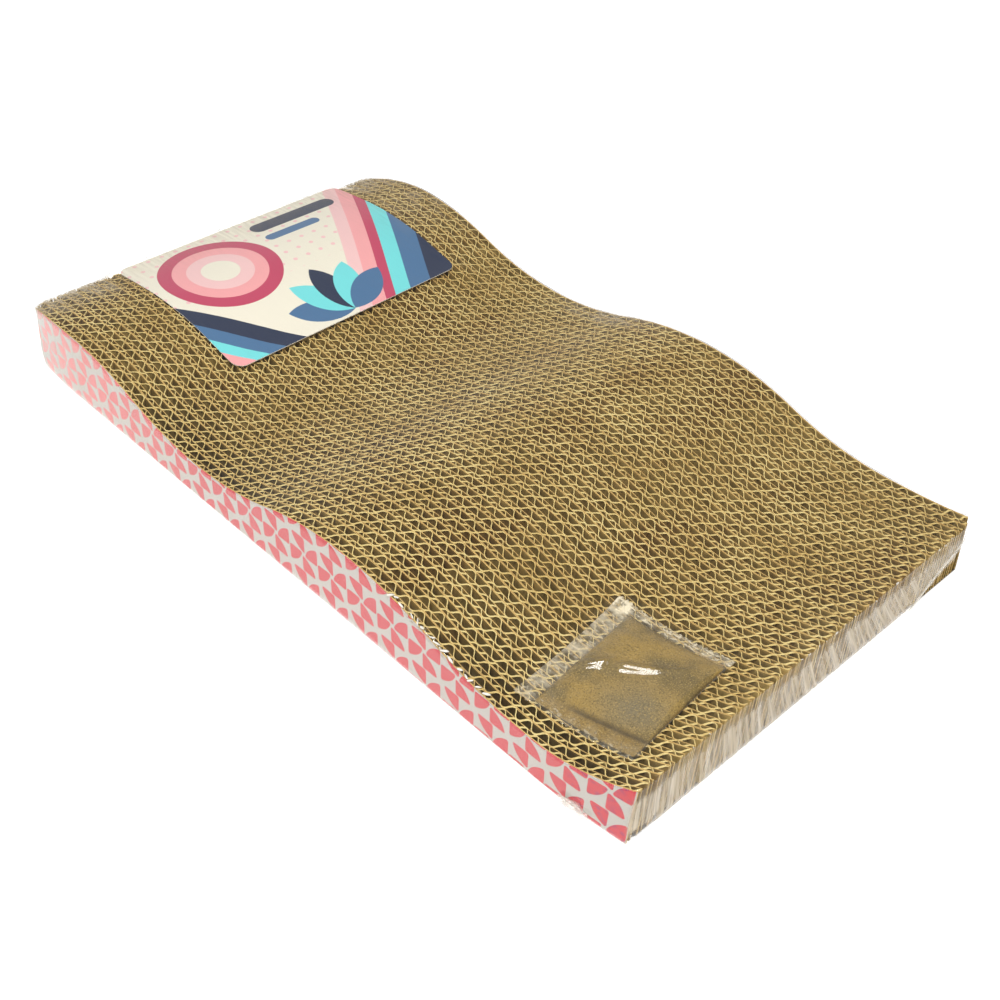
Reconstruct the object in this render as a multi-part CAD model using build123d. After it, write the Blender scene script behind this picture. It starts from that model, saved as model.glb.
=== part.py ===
from build123d import *

import os
from math import ceil, sqrt

# Wavy cat scratcher of corrugated board strips on edge, with a label card and a catnip sachet lying on it.
# Millimetres. X runs along the strips, Y across them, Z up. The origin is under the middle of the pad.

# Board: one strip is liner, small flute, liner, big flute, liner
LINER = 0.3
MEDIUM = 0.3
SMALL_FLUTE_HEIGHT = 1.9
SMALL_FLUTE_PITCH = 6.2
BIG_FLUTE_HEIGHT = 3.6
BIG_FLUTE_PITCH = 9.3

# Pad: strips stand on edge, glued side by side
PAD_LENGTH = 440.0
STRIP_COUNT = 38
FLUTED_STRIPS = 1
PRINTED_SHEET = 0.3
GLUE_LINE = 0.1
GLUE_BAND_HEIGHT = 8.0
GLUE_END_MARGIN = 12.0

# Wave cut along the top of every strip, heights above the table
CREST_HEIGHT = 40.0
VALLEY_HEIGHT = 20.8
WAVE_LENGTH = 228.0
CREST_X = 53.0

# Label card over the left hump
CARD_LENGTH = 112.0
CARD_WIDTH = 156.0
CARD_THICKNESS = 0.4
CARD_CORNER = 6.0
CARD_END_INSET = 1.8
CARD_Y = 10.0
CARD_TURN = 1.0

# Catnip sachet in the right-hand valley
SACHET_WIDTH = 60.5
SACHET_LENGTH = 74.0
SACHET_WAIST = 1.2
SACHET_TURN = 6.0
SACHET_END_INSET = 46.0
SACHET_SIDE_INSET = 51.0
POUCH_WALL = 0.3
SIDE_SEAL = 8.0
EDGE_SEAL = 1.5
END_SEAL = 6.0
FILL_RIM = 1.0
FILL_RISE = 3.0
FILL_END_RISE = 5.0

# Worked-out sizes
STRIP_THICKNESS = 3 * LINER + SMALL_FLUTE_HEIGHT + BIG_FLUTE_HEIGHT
STRIP_PITCH = STRIP_THICKNESS + GLUE_LINE
STACK_WIDTH = STRIP_COUNT * STRIP_PITCH - GLUE_LINE
PAD_WIDTH = STACK_WIDTH + 2 * PRINTED_SHEET
HALF_LENGTH = PAD_LENGTH / 2
HALF_WIDTH = PAD_WIDTH / 2
HALF_WAVE = WAVE_LENGTH / 2
WAVE_SWING = (CREST_HEIGHT - VALLEY_HEIGHT) / 2
WAVE_MIDDLE = (CREST_HEIGHT + VALLEY_HEIGHT) / 2
WAVE_RADIUS = ((HALF_WAVE / 2) ** 2 + WAVE_SWING**2) / (2 * WAVE_SWING)
SHORTEST_ARC = 1.0


def wave_height(x):
    """Height of the wave cut at x: arcs of one radius, joined tangent half way up."""
    half_waves = round((x - CREST_X) / HALF_WAVE)
    away = x - CREST_X - half_waves * HALF_WAVE
    rise = WAVE_SWING - WAVE_RADIUS + sqrt(WAVE_RADIUS**2 - away**2)
    return WAVE_MIDDLE + (rise if half_waves % 2 == 0 else -rise)


def wave_slope(x):
    """Slope of the wave cut at x, rise over run."""
    half_waves = round((x - CREST_X) / HALF_WAVE)
    away = x - CREST_X - half_waves * HALF_WAVE
    slope = away / sqrt(WAVE_RADIUS**2 - away**2)
    return -slope if half_waves % 2 == 0 else slope


def wave_edges(lift):
    """Arcs of the wave cut from end to end, raised by lift."""
    first = ceil((-HALF_LENGTH - CREST_X) / HALF_WAVE - 0.5)
    last = ceil((HALF_LENGTH - CREST_X) / HALF_WAVE - 0.5)
    joints = [CREST_X + (k + 0.5) * HALF_WAVE for k in range(first, last)]
    inner = [x for x in joints if abs(x) < HALF_LENGTH - SHORTEST_ARC]
    ends = [-HALF_LENGTH, *inner, HALF_LENGTH]
    arcs = []
    for start, stop in zip(ends, ends[1:]):
        points = [(x, wave_height(x) + lift) for x in (start, (start + stop) / 2, stop)]
        arcs.append(ThreePointArc(*points))
    return arcs


def facing(y):
    """The upright plane at y, drawn on as x and z, and facing the near side."""
    return Plane(origin=(0, y, 0), x_dir=(1, 0, 0), z_dir=(0, -1, 0))


def wave_block(low_y, high_y, lift=0.0):
    """A block with a flat base on the table and the wave cut on top, raised by lift."""
    arcs = wave_edges(lift)
    foot = Polyline(arcs[0] @ 0, (-HALF_LENGTH, 0), (HALF_LENGTH, 0), arcs[-1] @ 1)
    outline = make_face([*arcs, *foot.edges()])
    return extrude(facing(high_y) * outline, high_y - low_y)


def flute_sheet(low_y, height, pitch):
    """A paper folded into upright flutes that touch the liners on both sides, cut straight from fold to fold."""
    half_pitch = pitch / 2
    across = MEDIUM * sqrt(1 + ((height - MEDIUM) / half_pitch) ** 2)
    folds = ceil(PAD_LENGTH / half_pitch)
    near = [(-HALF_LENGTH + k * half_pitch, low_y + (height - across) * (k % 2)) for k in range(folds + 1)]
    far = [(x, y + across) for x, y in reversed(near)]
    folded = extrude(make_face(Polyline(*near, *far, close=True)), CREST_HEIGHT)
    cut_x = [x for x, _ in near[:-1]] + [HALF_LENGTH]
    cut = [(x, wave_height(x)) for x in cut_x]
    outline = make_face(Polyline(*cut, (HALF_LENGTH, 0), (-HALF_LENGTH, 0), close=True))
    return folded & extrude(facing(low_y + height) * outline, height)


def fluted_strip(low_y):
    """One strip with all five papers: three liners and the two flutes between them."""
    middle_y = low_y + LINER + SMALL_FLUTE_HEIGHT
    last_y = middle_y + LINER + BIG_FLUTE_HEIGHT
    liners = [wave_block(y, y + LINER) for y in (low_y, middle_y, last_y)]
    small = flute_sheet(low_y + LINER, SMALL_FLUTE_HEIGHT, SMALL_FLUTE_PITCH)
    big = flute_sheet(middle_y + LINER, BIG_FLUTE_HEIGHT, BIG_FLUTE_PITCH)
    return Compound(children=[liners[0], small, liners[1], big, liners[2]])


def strips():
    """All board strips by name, counted from the near side: the first ones open, the rest as solid blanks."""
    made = {}
    for k in range(STRIP_COUNT):
        low_y = -STACK_WIDTH / 2 + k * STRIP_PITCH
        if k < FLUTED_STRIPS:
            made[f"strip_{k + 1:02d}"] = fluted_strip(low_y)
        else:
            made[f"strip_{k + 1:02d}"] = wave_block(low_y, low_y + STRIP_THICKNESS)
    return made


def glue_lines():
    """A band of glue in each joint between neighbouring strips, half way up to the valleys."""
    band = Box(PAD_LENGTH - 2 * GLUE_END_MARGIN, GLUE_LINE, GLUE_BAND_HEIGHT)
    first_y = -STACK_WIDTH / 2 + STRIP_PITCH - GLUE_LINE / 2
    spots = [(0, first_y + k * STRIP_PITCH, VALLEY_HEIGHT / 2) for k in range(STRIP_COUNT - 1)]
    return Compound(children=[Pos(*spot) * band for spot in spots])


def label_card():
    """A thin card with round corners, lying on the hump."""
    card_x = -HALF_LENGTH + CARD_END_INSET + CARD_LENGTH / 2
    outline = Pos(card_x, CARD_Y) * Rot(0, 0, CARD_TURN) * RectangleRounded(CARD_LENGTH, CARD_WIDTH, CARD_CORNER)
    column = extrude(outline, CREST_HEIGHT + CARD_THICKNESS)
    skin = wave_block(-HALF_WIDTH, HALF_WIDTH, CARD_THICKNESS) - wave_block(-HALF_WIDTH, HALF_WIDTH)
    return column & skin


def sachet_place():
    """The point on the wave under the middle of the sachet."""
    x = HALF_LENGTH - SACHET_END_INSET
    return x, -HALF_WIDTH + SACHET_SIDE_INSET, wave_height(x)


def vault(width, length, rim, rise):
    """A block under a low arch that spans the width, as deep below the seat as its rim stands above it."""
    arch = ThreePointArc((-width / 2, rim), (0, rim + rise), (width / 2, rim))
    foot = Polyline(arch @ 0, (-width / 2, -rim), (width / 2, -rim), arch @ 1)
    return extrude(facing(0) * make_face([arch, *foot.edges()]), length / 2, both=True)


def sachet_bulge(grow):
    """The filled part of the sachet, grown by a margin: two crossing vaults, their rims clear of the wave."""
    width = SACHET_WIDTH - SIDE_SEAL - EDGE_SEAL + 2 * grow
    length = SACHET_LENGTH - 2 * END_SEAL + 2 * grow
    wave_rise = (SACHET_WIDTH**2 + SACHET_LENGTH**2) / (16 * WAVE_RADIUS)
    rim = wave_rise + POUCH_WALL + FILL_RIM + grow
    across = vault(width, length, rim, FILL_RISE)
    along = Rot(0, 0, 90) * vault(length, width, rim, FILL_END_RISE)
    x, y, z = sachet_place()
    slope = wave_slope(x)
    seat = Plane(origin=(x, y, z), x_dir=(1, 0, slope), z_dir=(-slope, 0, 1)).rotated((0, 0, SACHET_TURN))
    return seat * Pos((SIDE_SEAL - EDGE_SEAL) / 2, 0) * (across & along)


def sachet_margin():
    """The flat sealed rim of the sachet: straight crimped ends and sides drawn in at the waist."""
    half_w = SACHET_WIDTH / 2
    half_l = SACHET_LENGTH / 2
    sides = [
        Line((-half_w, half_l), (half_w, half_l)),
        ThreePointArc((half_w, half_l), (half_w - SACHET_WAIST, 0), (half_w, -half_l)),
        Line((half_w, -half_l), (-half_w, -half_l)),
        ThreePointArc((-half_w, -half_l), (SACHET_WAIST - half_w, 0), (-half_w, half_l)),
    ]
    x, y, _ = sachet_place()
    column = extrude(Pos(x, y) * Rot(0, 0, SACHET_TURN) * make_face(sides), CREST_HEIGHT)
    return column & wave_block(-HALF_WIDTH, HALF_WIDTH, POUCH_WALL)


def sachet():
    """The clear pouch, and the herb that fills it."""
    herb = sachet_bulge(0) - wave_block(-HALF_WIDTH, HALF_WIDTH, POUCH_WALL)
    skin = sachet_bulge(POUCH_WALL) + sachet_margin()
    pouch = skin - wave_block(-HALF_WIDTH, HALF_WIDTH) - herb
    return pouch, herb


def all_pieces():
    """Every piece of the scratcher by its name."""
    pouch, herb = sachet()
    pieces = strips()
    pieces["printed_side_near"] = wave_block(-HALF_WIDTH, -HALF_WIDTH + PRINTED_SHEET)
    pieces["printed_side_far"] = wave_block(HALF_WIDTH - PRINTED_SHEET, HALF_WIDTH)
    pieces["glue_lines"] = glue_lines()
    pieces["label_card"] = label_card()
    pieces["catnip_pouch"] = pouch
    pieces["catnip_herb"] = herb
    return pieces


os.makedirs("parts", exist_ok=True)
for name, piece in all_pieces().items():
    export_step(piece, f"parts/{name}.step")
print(f"pad {PAD_LENGTH:.1f} x {PAD_WIDTH:.1f} x {CREST_HEIGHT:.1f} mm, wave radius {WAVE_RADIUS:.1f} mm")
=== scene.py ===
"""Looks of a wavy cat scratcher.

It has corrugated strips, printed sides, a label card, a catnip sachet and shrink film. Lengths are
millimetres here, and put_mesh turns them into metres. X runs along the strips, Y across them to the far side
and Z up from the table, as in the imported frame.
"""

import logging
import math
from abc import ABC, abstractmethod
from dataclasses import dataclass, replace
from enum import Enum
from typing import Union

import bmesh
import bpy
import numpy as np
from mathutils import Matrix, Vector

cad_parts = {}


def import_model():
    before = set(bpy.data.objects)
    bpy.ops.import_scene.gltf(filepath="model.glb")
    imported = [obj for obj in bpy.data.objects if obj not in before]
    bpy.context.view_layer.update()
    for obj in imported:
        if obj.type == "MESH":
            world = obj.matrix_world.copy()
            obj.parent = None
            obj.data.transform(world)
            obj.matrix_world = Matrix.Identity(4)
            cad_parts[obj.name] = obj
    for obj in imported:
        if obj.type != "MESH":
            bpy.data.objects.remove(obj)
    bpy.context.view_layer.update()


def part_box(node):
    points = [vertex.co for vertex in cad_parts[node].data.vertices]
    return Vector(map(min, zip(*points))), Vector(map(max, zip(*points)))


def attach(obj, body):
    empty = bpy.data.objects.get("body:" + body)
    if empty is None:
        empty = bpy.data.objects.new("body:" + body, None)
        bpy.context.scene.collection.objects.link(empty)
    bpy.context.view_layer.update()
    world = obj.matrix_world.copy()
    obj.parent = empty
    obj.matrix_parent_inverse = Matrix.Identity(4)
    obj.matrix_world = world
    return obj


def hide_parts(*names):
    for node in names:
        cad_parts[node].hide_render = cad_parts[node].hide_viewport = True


log = logging.getLogger("scratcher")

Array = np.ndarray
Pair = tuple[float, float]
Triple = tuple[float, float, float]
Colour = tuple[float, float, float, float]
Lengths = tuple[float, ...]
Faces = list[list[int]]
Number = Union[float, "Signal"]

MM = 0.001
UP = np.array([0.0, 0.0, 1.0])
BODY = "root"


# Numbers and shapes

def smooth_step(low: float, high: float, value: Array) -> Array:
    """Rise from 0 at low to 1 at high by the cubic 3t^2 - 2t^3, or fall where high is below low."""
    share = np.clip((value - low) / (high - low), 0.0, 1.0)
    return share * share * (3.0 - 2.0 * share)


def bell(distance: Array, width: float) -> Array:
    """A soft hump, e to the minus (distance / width) squared."""
    return np.exp(-((distance / width) ** 2))


def wander(value: Array, wavelengths: Lengths, rng: np.random.Generator) -> Array:
    """An uneven wave between about -1 and 1: sines of the given lengths, each from a random start.

    Args:
        value: places along the wave.
        wavelengths: length of each sine.
        rng: where the starts are drawn from.

    Returns:
        The mean of the sines, shaped as value.
    """
    starts = rng.uniform(0.0, 2.0 * math.pi, len(wavelengths))
    waves = [np.sin(2.0 * math.pi * value / length + start) for length, start in zip(wavelengths, starts)]
    return sum(waves) / len(waves)


def dome(share: Array, low: Pair, high: Pair) -> Array:
    """A hump from -1 to 1, (1 - |share|^p)^q, with p and q from low below 0 and from high above it."""
    inner, outer = (np.where(share < 0.0, below, above) for below, above in zip(low, high))
    return (1.0 - np.abs(share) ** inner) ** outer


def unit(vector: Array) -> Array:
    """A vector of length 1 that points the same way."""
    return vector / np.linalg.norm(vector)


def stand(right: Array, back: Array, place: Array) -> Matrix:
    """The matrix of a camera or lamp at a place in metres, from its right and backward directions."""
    rows = np.stack([right, np.cross(back, right), back, place], axis=1).tolist()
    return Matrix([*rows, [0.0, 0.0, 0.0, 1.0]])


def grid_quads(indices: Array, flip: bool = False) -> Array:
    """Quads between neighbours of a grid of point numbers.

    Args:
        indices: point numbers, one row for each line of the grid.
        flip: turn the faces over.

    Returns:
        Rows of four point numbers.
    """
    corners = [indices[:-1, :-1], indices[:-1, 1:], indices[1:, 1:], indices[1:, :-1]]
    quads = np.stack(corners, axis=-1).reshape(-1, 4)
    return quads[:, ::-1] if flip else quads


def loft(sections: Array) -> tuple[Array, Faces]:
    """A closed bar through loops of points, with a flat cap at each end.

    The loops run up the near side, over to the far side and down, one after another along X, so that every
    face looks outwards.

    Args:
        sections: points, of shape (loops, points in a loop, 3).

    Returns:
        Points in one list, and faces as lists of point numbers: the sides first, then the two caps.
    """
    count, around = sections.shape[:2]
    indices = np.arange(count * around).reshape(count, around)
    ringed = np.concatenate([indices, indices[:, :1]], axis=1)
    sides = grid_quads(ringed.T)
    faces = sides.tolist() + [indices[0].tolist(), indices[-1, ::-1].tolist()]
    return sections.reshape(-1, 3), faces


def join(parts: list[tuple[Array, Faces]]) -> tuple[Array, Faces]:
    """Put several meshes into one.

    Args:
        parts: points and faces of each mesh.

    Returns:
        All points in one list, and all faces by the new numbers of their points.
    """
    starts = np.cumsum([0] + [len(points) for points, _ in parts]).tolist()
    faces = [[start + k for k in face] for start, (_, own) in zip(starts, parts) for face in own]
    return np.concatenate([points for points, _ in parts]), faces


def pillow(top: Array, bottom: Array) -> tuple[Array, Array]:
    """A closed bag from an upper and a lower sheet that share their border.

    Args:
        top: upper points, of shape (rows, columns, 3), rows along Y and columns along X.
        bottom: lower points on the same grid; its border is taken from top.

    Returns:
        Points in one list, and quads as rows of point numbers.
    """
    rows, columns = top.shape[:2]
    upper = np.arange(rows * columns).reshape(rows, columns)
    lower = upper.copy()
    inner = (rows - 2) * (columns - 2)
    lower[1:-1, 1:-1] = rows * columns + np.arange(inner).reshape(rows - 2, columns - 2)
    points = np.concatenate([top.reshape(-1, 3), bottom[1:-1, 1:-1].reshape(-1, 3)])
    return points, np.concatenate([grid_quads(upper), grid_quads(lower, flip=True)])


def put_mesh(
    name: str,
    points: Array,
    faces: Union[Array, Faces],
    materials: list[bpy.types.Material],
    face_material: Array | None = None,
    smooth: bool = False,
) -> bpy.types.Object:
    """Make a mesh object at the origin.

    Args:
        name: name of the piece.
        points: places in millimetres, one row each.
        faces: point numbers of each face.
        materials: the piece's finishes.
        face_material: which finish each face takes; the first one if left out.
        smooth: shade the faces as one smooth surface.

    Returns:
        The new object.
    """
    mesh = bpy.data.meshes.new(name)
    mesh.from_pydata((points * MM).tolist(), [], faces if isinstance(faces, list) else faces.tolist())
    for material in materials:
        mesh.materials.append(material)
    if face_material is not None:
        mesh.polygons.foreach_set("material_index", face_material.astype(np.int32))
    mesh.polygons.foreach_set("use_smooth", np.full(len(mesh.polygons), smooth))
    mesh.update()
    piece = bpy.data.objects.new(name, mesh)
    bpy.context.scene.collection.objects.link(piece)
    return piece


def add_attribute(piece: bpy.types.Object, name: str, values: Array) -> None:
    """Give each point of a piece a number that its finish reads."""
    attribute = piece.data.attributes.new(name, "FLOAT", "POINT")
    attribute.data.foreach_set("value", values.astype(np.float32).ravel())


def seat(piece: bpy.types.Object, slot: str, *nodes: str) -> None:
    """Let a piece ride on the pad and let it stand for solids of the frame.

    Args:
        piece: the finished piece.
        slot: not used.
        nodes: names of the solids that it stands for.
    """
    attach(piece, BODY)
    if nodes:
        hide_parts(*nodes)
    log.info("%s: %d faces", piece.name, len(piece.data.polygons))


# Shader writing

def paint(code: str, share: float = 1.0) -> Colour:
    """The linear colour of a screen colour: a short straight line at the dark end, then a power of 2.4.

    Args:
        code: the colour as six hexadecimal digits.
        share: how much of its light is kept.

    Returns:
        Red, green, blue and alpha.
    """
    screen = np.array([int(code[k : k + 2], 16) for k in (0, 2, 4)]) / 255.0
    linear = np.where(screen <= 0.04045, screen / 12.92, ((screen + 0.055) / 1.055) ** 2.4)
    return (*map(float, linear * share), 1.0)


@dataclass(frozen=True)
class Signal:
    """A number that varies over a surface: the output of one shader node."""

    graph: "Graph"
    socket: bpy.types.NodeSocket

    def __add__(self, other: Number) -> "Signal":
        """This number plus another."""
        return self.graph.math("ADD", self, other)

    def __sub__(self, other: Number) -> "Signal":
        """This number less another."""
        return self.graph.math("SUBTRACT", self, other)

    def __mul__(self, other: Number) -> "Signal":
        """This number times another."""
        return self.graph.math("MULTIPLY", self, other)

    def __truediv__(self, other: Number) -> "Signal":
        """This number divided by another."""
        return self.graph.math("DIVIDE", self, other)

    def __neg__(self) -> "Signal":
        """This number with its sign turned."""
        return self.graph.math("MULTIPLY", self, -1.0)

    def size(self) -> "Signal":
        """This number without its sign."""
        return self.graph.math("ABSOLUTE", self)

    def least(self, other: Number) -> "Signal":
        """The smaller of two numbers."""
        return self.graph.math("MINIMUM", self, other)

    def most(self, other: Number) -> "Signal":
        """The larger of two numbers."""
        return self.graph.math("MAXIMUM", self, other)

    def folded(self, period: float) -> "Signal":
        """The distance from the nearest multiple of period, with its sign."""
        return self - self.graph.math("ROUND", self / period) * period

    def inside(self, softness: float) -> "Signal":
        """1 where a signed distance is below zero, 0 outside, with a soft edge as wide as softness."""
        return self.graph.math("ADD", self / -softness, 0.5, clamp=True)


class Graph:
    """Writes the shader nodes of one material."""

    def __init__(self, name: str) -> None:
        """Start a material with nothing but its output node.

        Args:
            name: name of the material.
        """
        self.material = bpy.data.materials.new(name)
        self.material.use_nodes = True
        self.tree = self.material.node_tree
        self.tree.nodes.clear()
        self.output = self.tree.nodes.new("ShaderNodeOutputMaterial")

    def node(self, kind: str, inputs: dict | None = None, **settings: object) -> bpy.types.Node:
        """Add a node.

        Args:
            kind: type of the node.
            inputs: values or signals by input name or number.
            settings: the node's own settings.

        Returns:
            The new node.
        """
        made = self.tree.nodes.new(kind)
        for key, value in settings.items():
            setattr(made, key, value)
        for key, value in (inputs or {}).items():
            self.feed(made.inputs[key], value)
        return made

    def feed(self, socket: bpy.types.NodeSocket, value: object) -> None:
        """Link a signal or a socket to an input, or set a plain value on it.

        Args:
            socket: the input.
            value: what it takes.
        """
        source = value.socket if isinstance(value, Signal) else value
        if isinstance(source, bpy.types.NodeSocket):
            self.tree.links.new(source, socket)
        else:
            socket.default_value = source

    def math(self, operation: str, *values: Number, clamp: bool = False) -> Signal:
        """The result of a Math node on the given numbers."""
        made = self.node("ShaderNodeMath", dict(enumerate(values)), operation=operation, use_clamp=clamp)
        return Signal(self, made.outputs[0])

    def length(self, *parts: Signal) -> Signal:
        """The length of a vector: the root of the sum of its parts' squares."""
        total = sum((part * part for part in parts[1:]), parts[0] * parts[0])
        return self.math("SQRT", total)

    def spread(self, scale: float) -> bpy.types.NodeSocket:
        """Object coordinates times a scale, as a vector."""
        place = self.node("ShaderNodeTexCoord").outputs["Object"]
        return self.node("ShaderNodeVectorMath", {0: place, "Scale": scale}, operation="SCALE").outputs[0]

    def place(self) -> tuple[Signal, Signal, Signal]:
        """Object coordinates in millimetres, as three numbers."""
        parts = self.node("ShaderNodeSeparateXYZ", {0: self.spread(1.0 / MM)})
        return tuple(Signal(self, parts.outputs[k]) for k in range(3))

    def noise(
        self,
        stretch: Triple,
        detail: float = 3.0,
        offset: float = 0.0,
        place: bpy.types.NodeSocket | None = None,
    ) -> Signal:
        """Cloudy noise from 0 to 1.

        Args:
            stretch: size of its clouds along each axis, in millimetres.
            detail: how many finer layers it has.
            offset: a shift that makes two noises differ.
            place: where to look it up; object coordinates if left out.

        Returns:
            The noise as a signal.
        """
        place = place or self.node("ShaderNodeTexCoord").outputs["Object"]
        scale = tuple(1.0 / (MM * size) for size in stretch)
        moved = self.node("ShaderNodeMapping", {"Vector": place, "Location": (offset,) * 3, "Scale": scale})
        inputs = {"Vector": moved.outputs[0], "Scale": 1.0, "Detail": detail}
        return Signal(self, self.node("ShaderNodeTexNoise", inputs).outputs[0])

    def attribute(self, name: str) -> Signal:
        """The number that the piece's points carry under a name."""
        return Signal(self, self.node("ShaderNodeAttribute", attribute_name=name).outputs["Fac"])

    def ramp(self, value: Signal, low: float, high: float, start: float = 0.0, end: float = 1.0) -> Signal:
        """Map low to start and high to end, and hold beyond them."""
        inputs = {0: value, 1: low, 2: high, 3: start, 4: end}
        return Signal(self, self.node("ShaderNodeMapRange", inputs, clamp=True).outputs[0])

    def mix(self, share: Signal, first: object, second: object) -> bpy.types.NodeSocket:
        """A colour between two, by a share from 0 to 1."""
        made = self.node("ShaderNodeMix", {0: share, 6: first, 7: second}, data_type="RGBA")
        return made.outputs[2]

    def bump(self, height: Signal, depth: float) -> bpy.types.NodeSocket:
        """A normal that follows a height from 0 to 1 over a depth in millimetres."""
        inputs = {"Height": height, "Distance": depth * MM, "Strength": 1.0}
        return self.node("ShaderNodeBump", inputs).outputs[0]

    def principled(self, inputs: dict) -> bpy.types.Node:
        """A Principled shader with the given inputs."""
        return self.node("ShaderNodeBsdfPrincipled", inputs)

    def seen(self) -> Signal:
        """Which rays show a surface to the viewer: straight, in a mirror or through a film.

        Returns:
            1 for these rays and 0 for the light's other ways.
        """
        path = self.node("ShaderNodeLightPath").outputs
        rays = [Signal(self, path[f"Is {kind} Ray"]) for kind in ("Camera", "Glossy", "Transmission")]
        return (rays[0] + rays[1] + rays[2]).least(1.0)

    def close(self, shader: bpy.types.Node) -> bpy.types.Material:
        """Send a shader to the surface, and hand over the material."""
        self.tree.links.new(shader.outputs[0], self.output.inputs["Surface"])
        return self.material


# Finishes

class Finish(ABC):
    """A surface finish, written into a Blender material by its own shader method."""

    name: str

    @abstractmethod
    def shader(self, graph: Graph) -> bpy.types.Node:
        """The node that the surface shows, written into the graph."""

    def material(self) -> bpy.types.Material:
        """The finish as a Blender material."""
        graph = Graph(self.name)
        return graph.close(self.shader(graph))


@dataclass(frozen=True)
class KraftWall(Finish):
    """Brown board paper seen from its side, with fibres, and with painted shade in the valleys along the near
    edge.
    """

    wave: "Wave"
    name: str = "kraft_wall"
    pale: str = "c0a460"
    deep: str = "8a7238"
    brown: str = "86602a"
    dark: str = "3a280e"
    cloud_size: Triple = (9.0, 9.0, 14.0)
    cloud_share: float = 0.6
    fibre_size: Triple = (1.2, 1.2, 5.0)
    fibre_share: float = 0.4
    fibre_depth: float = 0.05
    tone_range: Pair = (0.36, 0.64)
    patch_size: Triple = (26.0, 60.0, 60.0)
    patch_range: Pair = (0.48, 0.66)
    brown_share: float = 0.6
    # The dark colour, by dark_share between these ranges, is painted shade in the valleys by the near edge.
    valley_range: Pair = (0.2, -0.6)
    near_y: Pair = (-84.0, -114.0)
    dark_share: float = 0.55
    roughness: float = 0.82

    def valley_shade(self, graph: Graph) -> Signal:
        """Painted shade: how far a place lies in the valleys by the near edge, by the cosine of its way along
        the wave.

        Args:
            graph: the material being written.

        Returns:
            1 deep in these valleys, and 0 on the crests and towards the middle of the pad.
        """
        x, y, _ = graph.place()
        height = graph.math("COSINE", (x - self.wave.crest_x) * (2.0 * math.pi / self.wave.length))
        return graph.ramp(height, *self.valley_range) * graph.ramp(y, *self.near_y)

    def shader(self, graph: Graph) -> bpy.types.Node:
        """Two tones in clouds and fibres, with browner patches, and with painted shade in the near valleys.

        Args:
            graph: the material being written.

        Returns:
            The surface shader.
        """
        cloud = graph.noise(self.cloud_size)
        fibre = graph.noise(self.fibre_size, detail=2.0, offset=7.0)
        share = graph.ramp(cloud * self.cloud_share + fibre * self.fibre_share, *self.tone_range)
        colour = graph.mix(share, paint(self.deep), paint(self.pale))
        patch = graph.noise(self.patch_size, detail=2.0, offset=15.0)
        browned = graph.ramp(patch, *self.patch_range, 0.0, self.brown_share)
        colour = graph.mix(browned, colour, paint(self.brown))
        # Painted shade: the walls turn towards the dark colour in the near valleys.
        return graph.principled(
            {
                "Base Color": graph.mix(self.valley_shade(graph) * self.dark_share, colour, paint(self.dark)),
                "Roughness": self.roughness,
                "Normal": graph.bump(fibre, self.fibre_depth),
            }
        )


@dataclass(frozen=True)
class CutEdge(Finish):
    """The die-cut edges of the papers, paler than their sides and a little ragged."""

    name: str
    pale: str = "e6d08c"
    deep: str = "ceae64"
    fleck_size: Triple = (1.6, 1.6, 1.6)
    patch_size: Triple = (42.0, 30.0, 42.0)
    tone_range: Pair = (0.36, 0.62)
    roughness: float = 0.7

    def shader(self, graph: Graph) -> bpy.types.Node:
        """Two tones, half in small flecks and half in wide patches.

        Args:
            graph: the material being written.

        Returns:
            The surface shader.
        """
        fleck = graph.noise(self.fleck_size, detail=2.0)
        patch = graph.noise(self.patch_size, detail=2.0, offset=3.0)
        share = graph.ramp(fleck * 0.5 + patch * 0.5, *self.tone_range)
        colour = graph.mix(share, paint(self.deep), paint(self.pale))
        return graph.principled({"Base Color": colour, "Roughness": self.roughness})


@dataclass(frozen=True)
class Mottled(Finish):
    """A plain finish of two near tones in small clouds."""

    name: str
    pale: str
    deep: str
    cloud_size: Triple
    roughness: float
    tone_range: Pair = (0.35, 0.65)

    def shader(self, graph: Graph) -> bpy.types.Node:
        """Two tones mixed by one noise.

        Args:
            graph: the material being written.

        Returns:
            The surface shader.
        """
        share = graph.ramp(graph.noise(self.cloud_size), *self.tone_range)
        colour = graph.mix(share, paint(self.deep), paint(self.pale))
        return graph.principled({"Base Color": colour, "Roughness": self.roughness})


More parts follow.
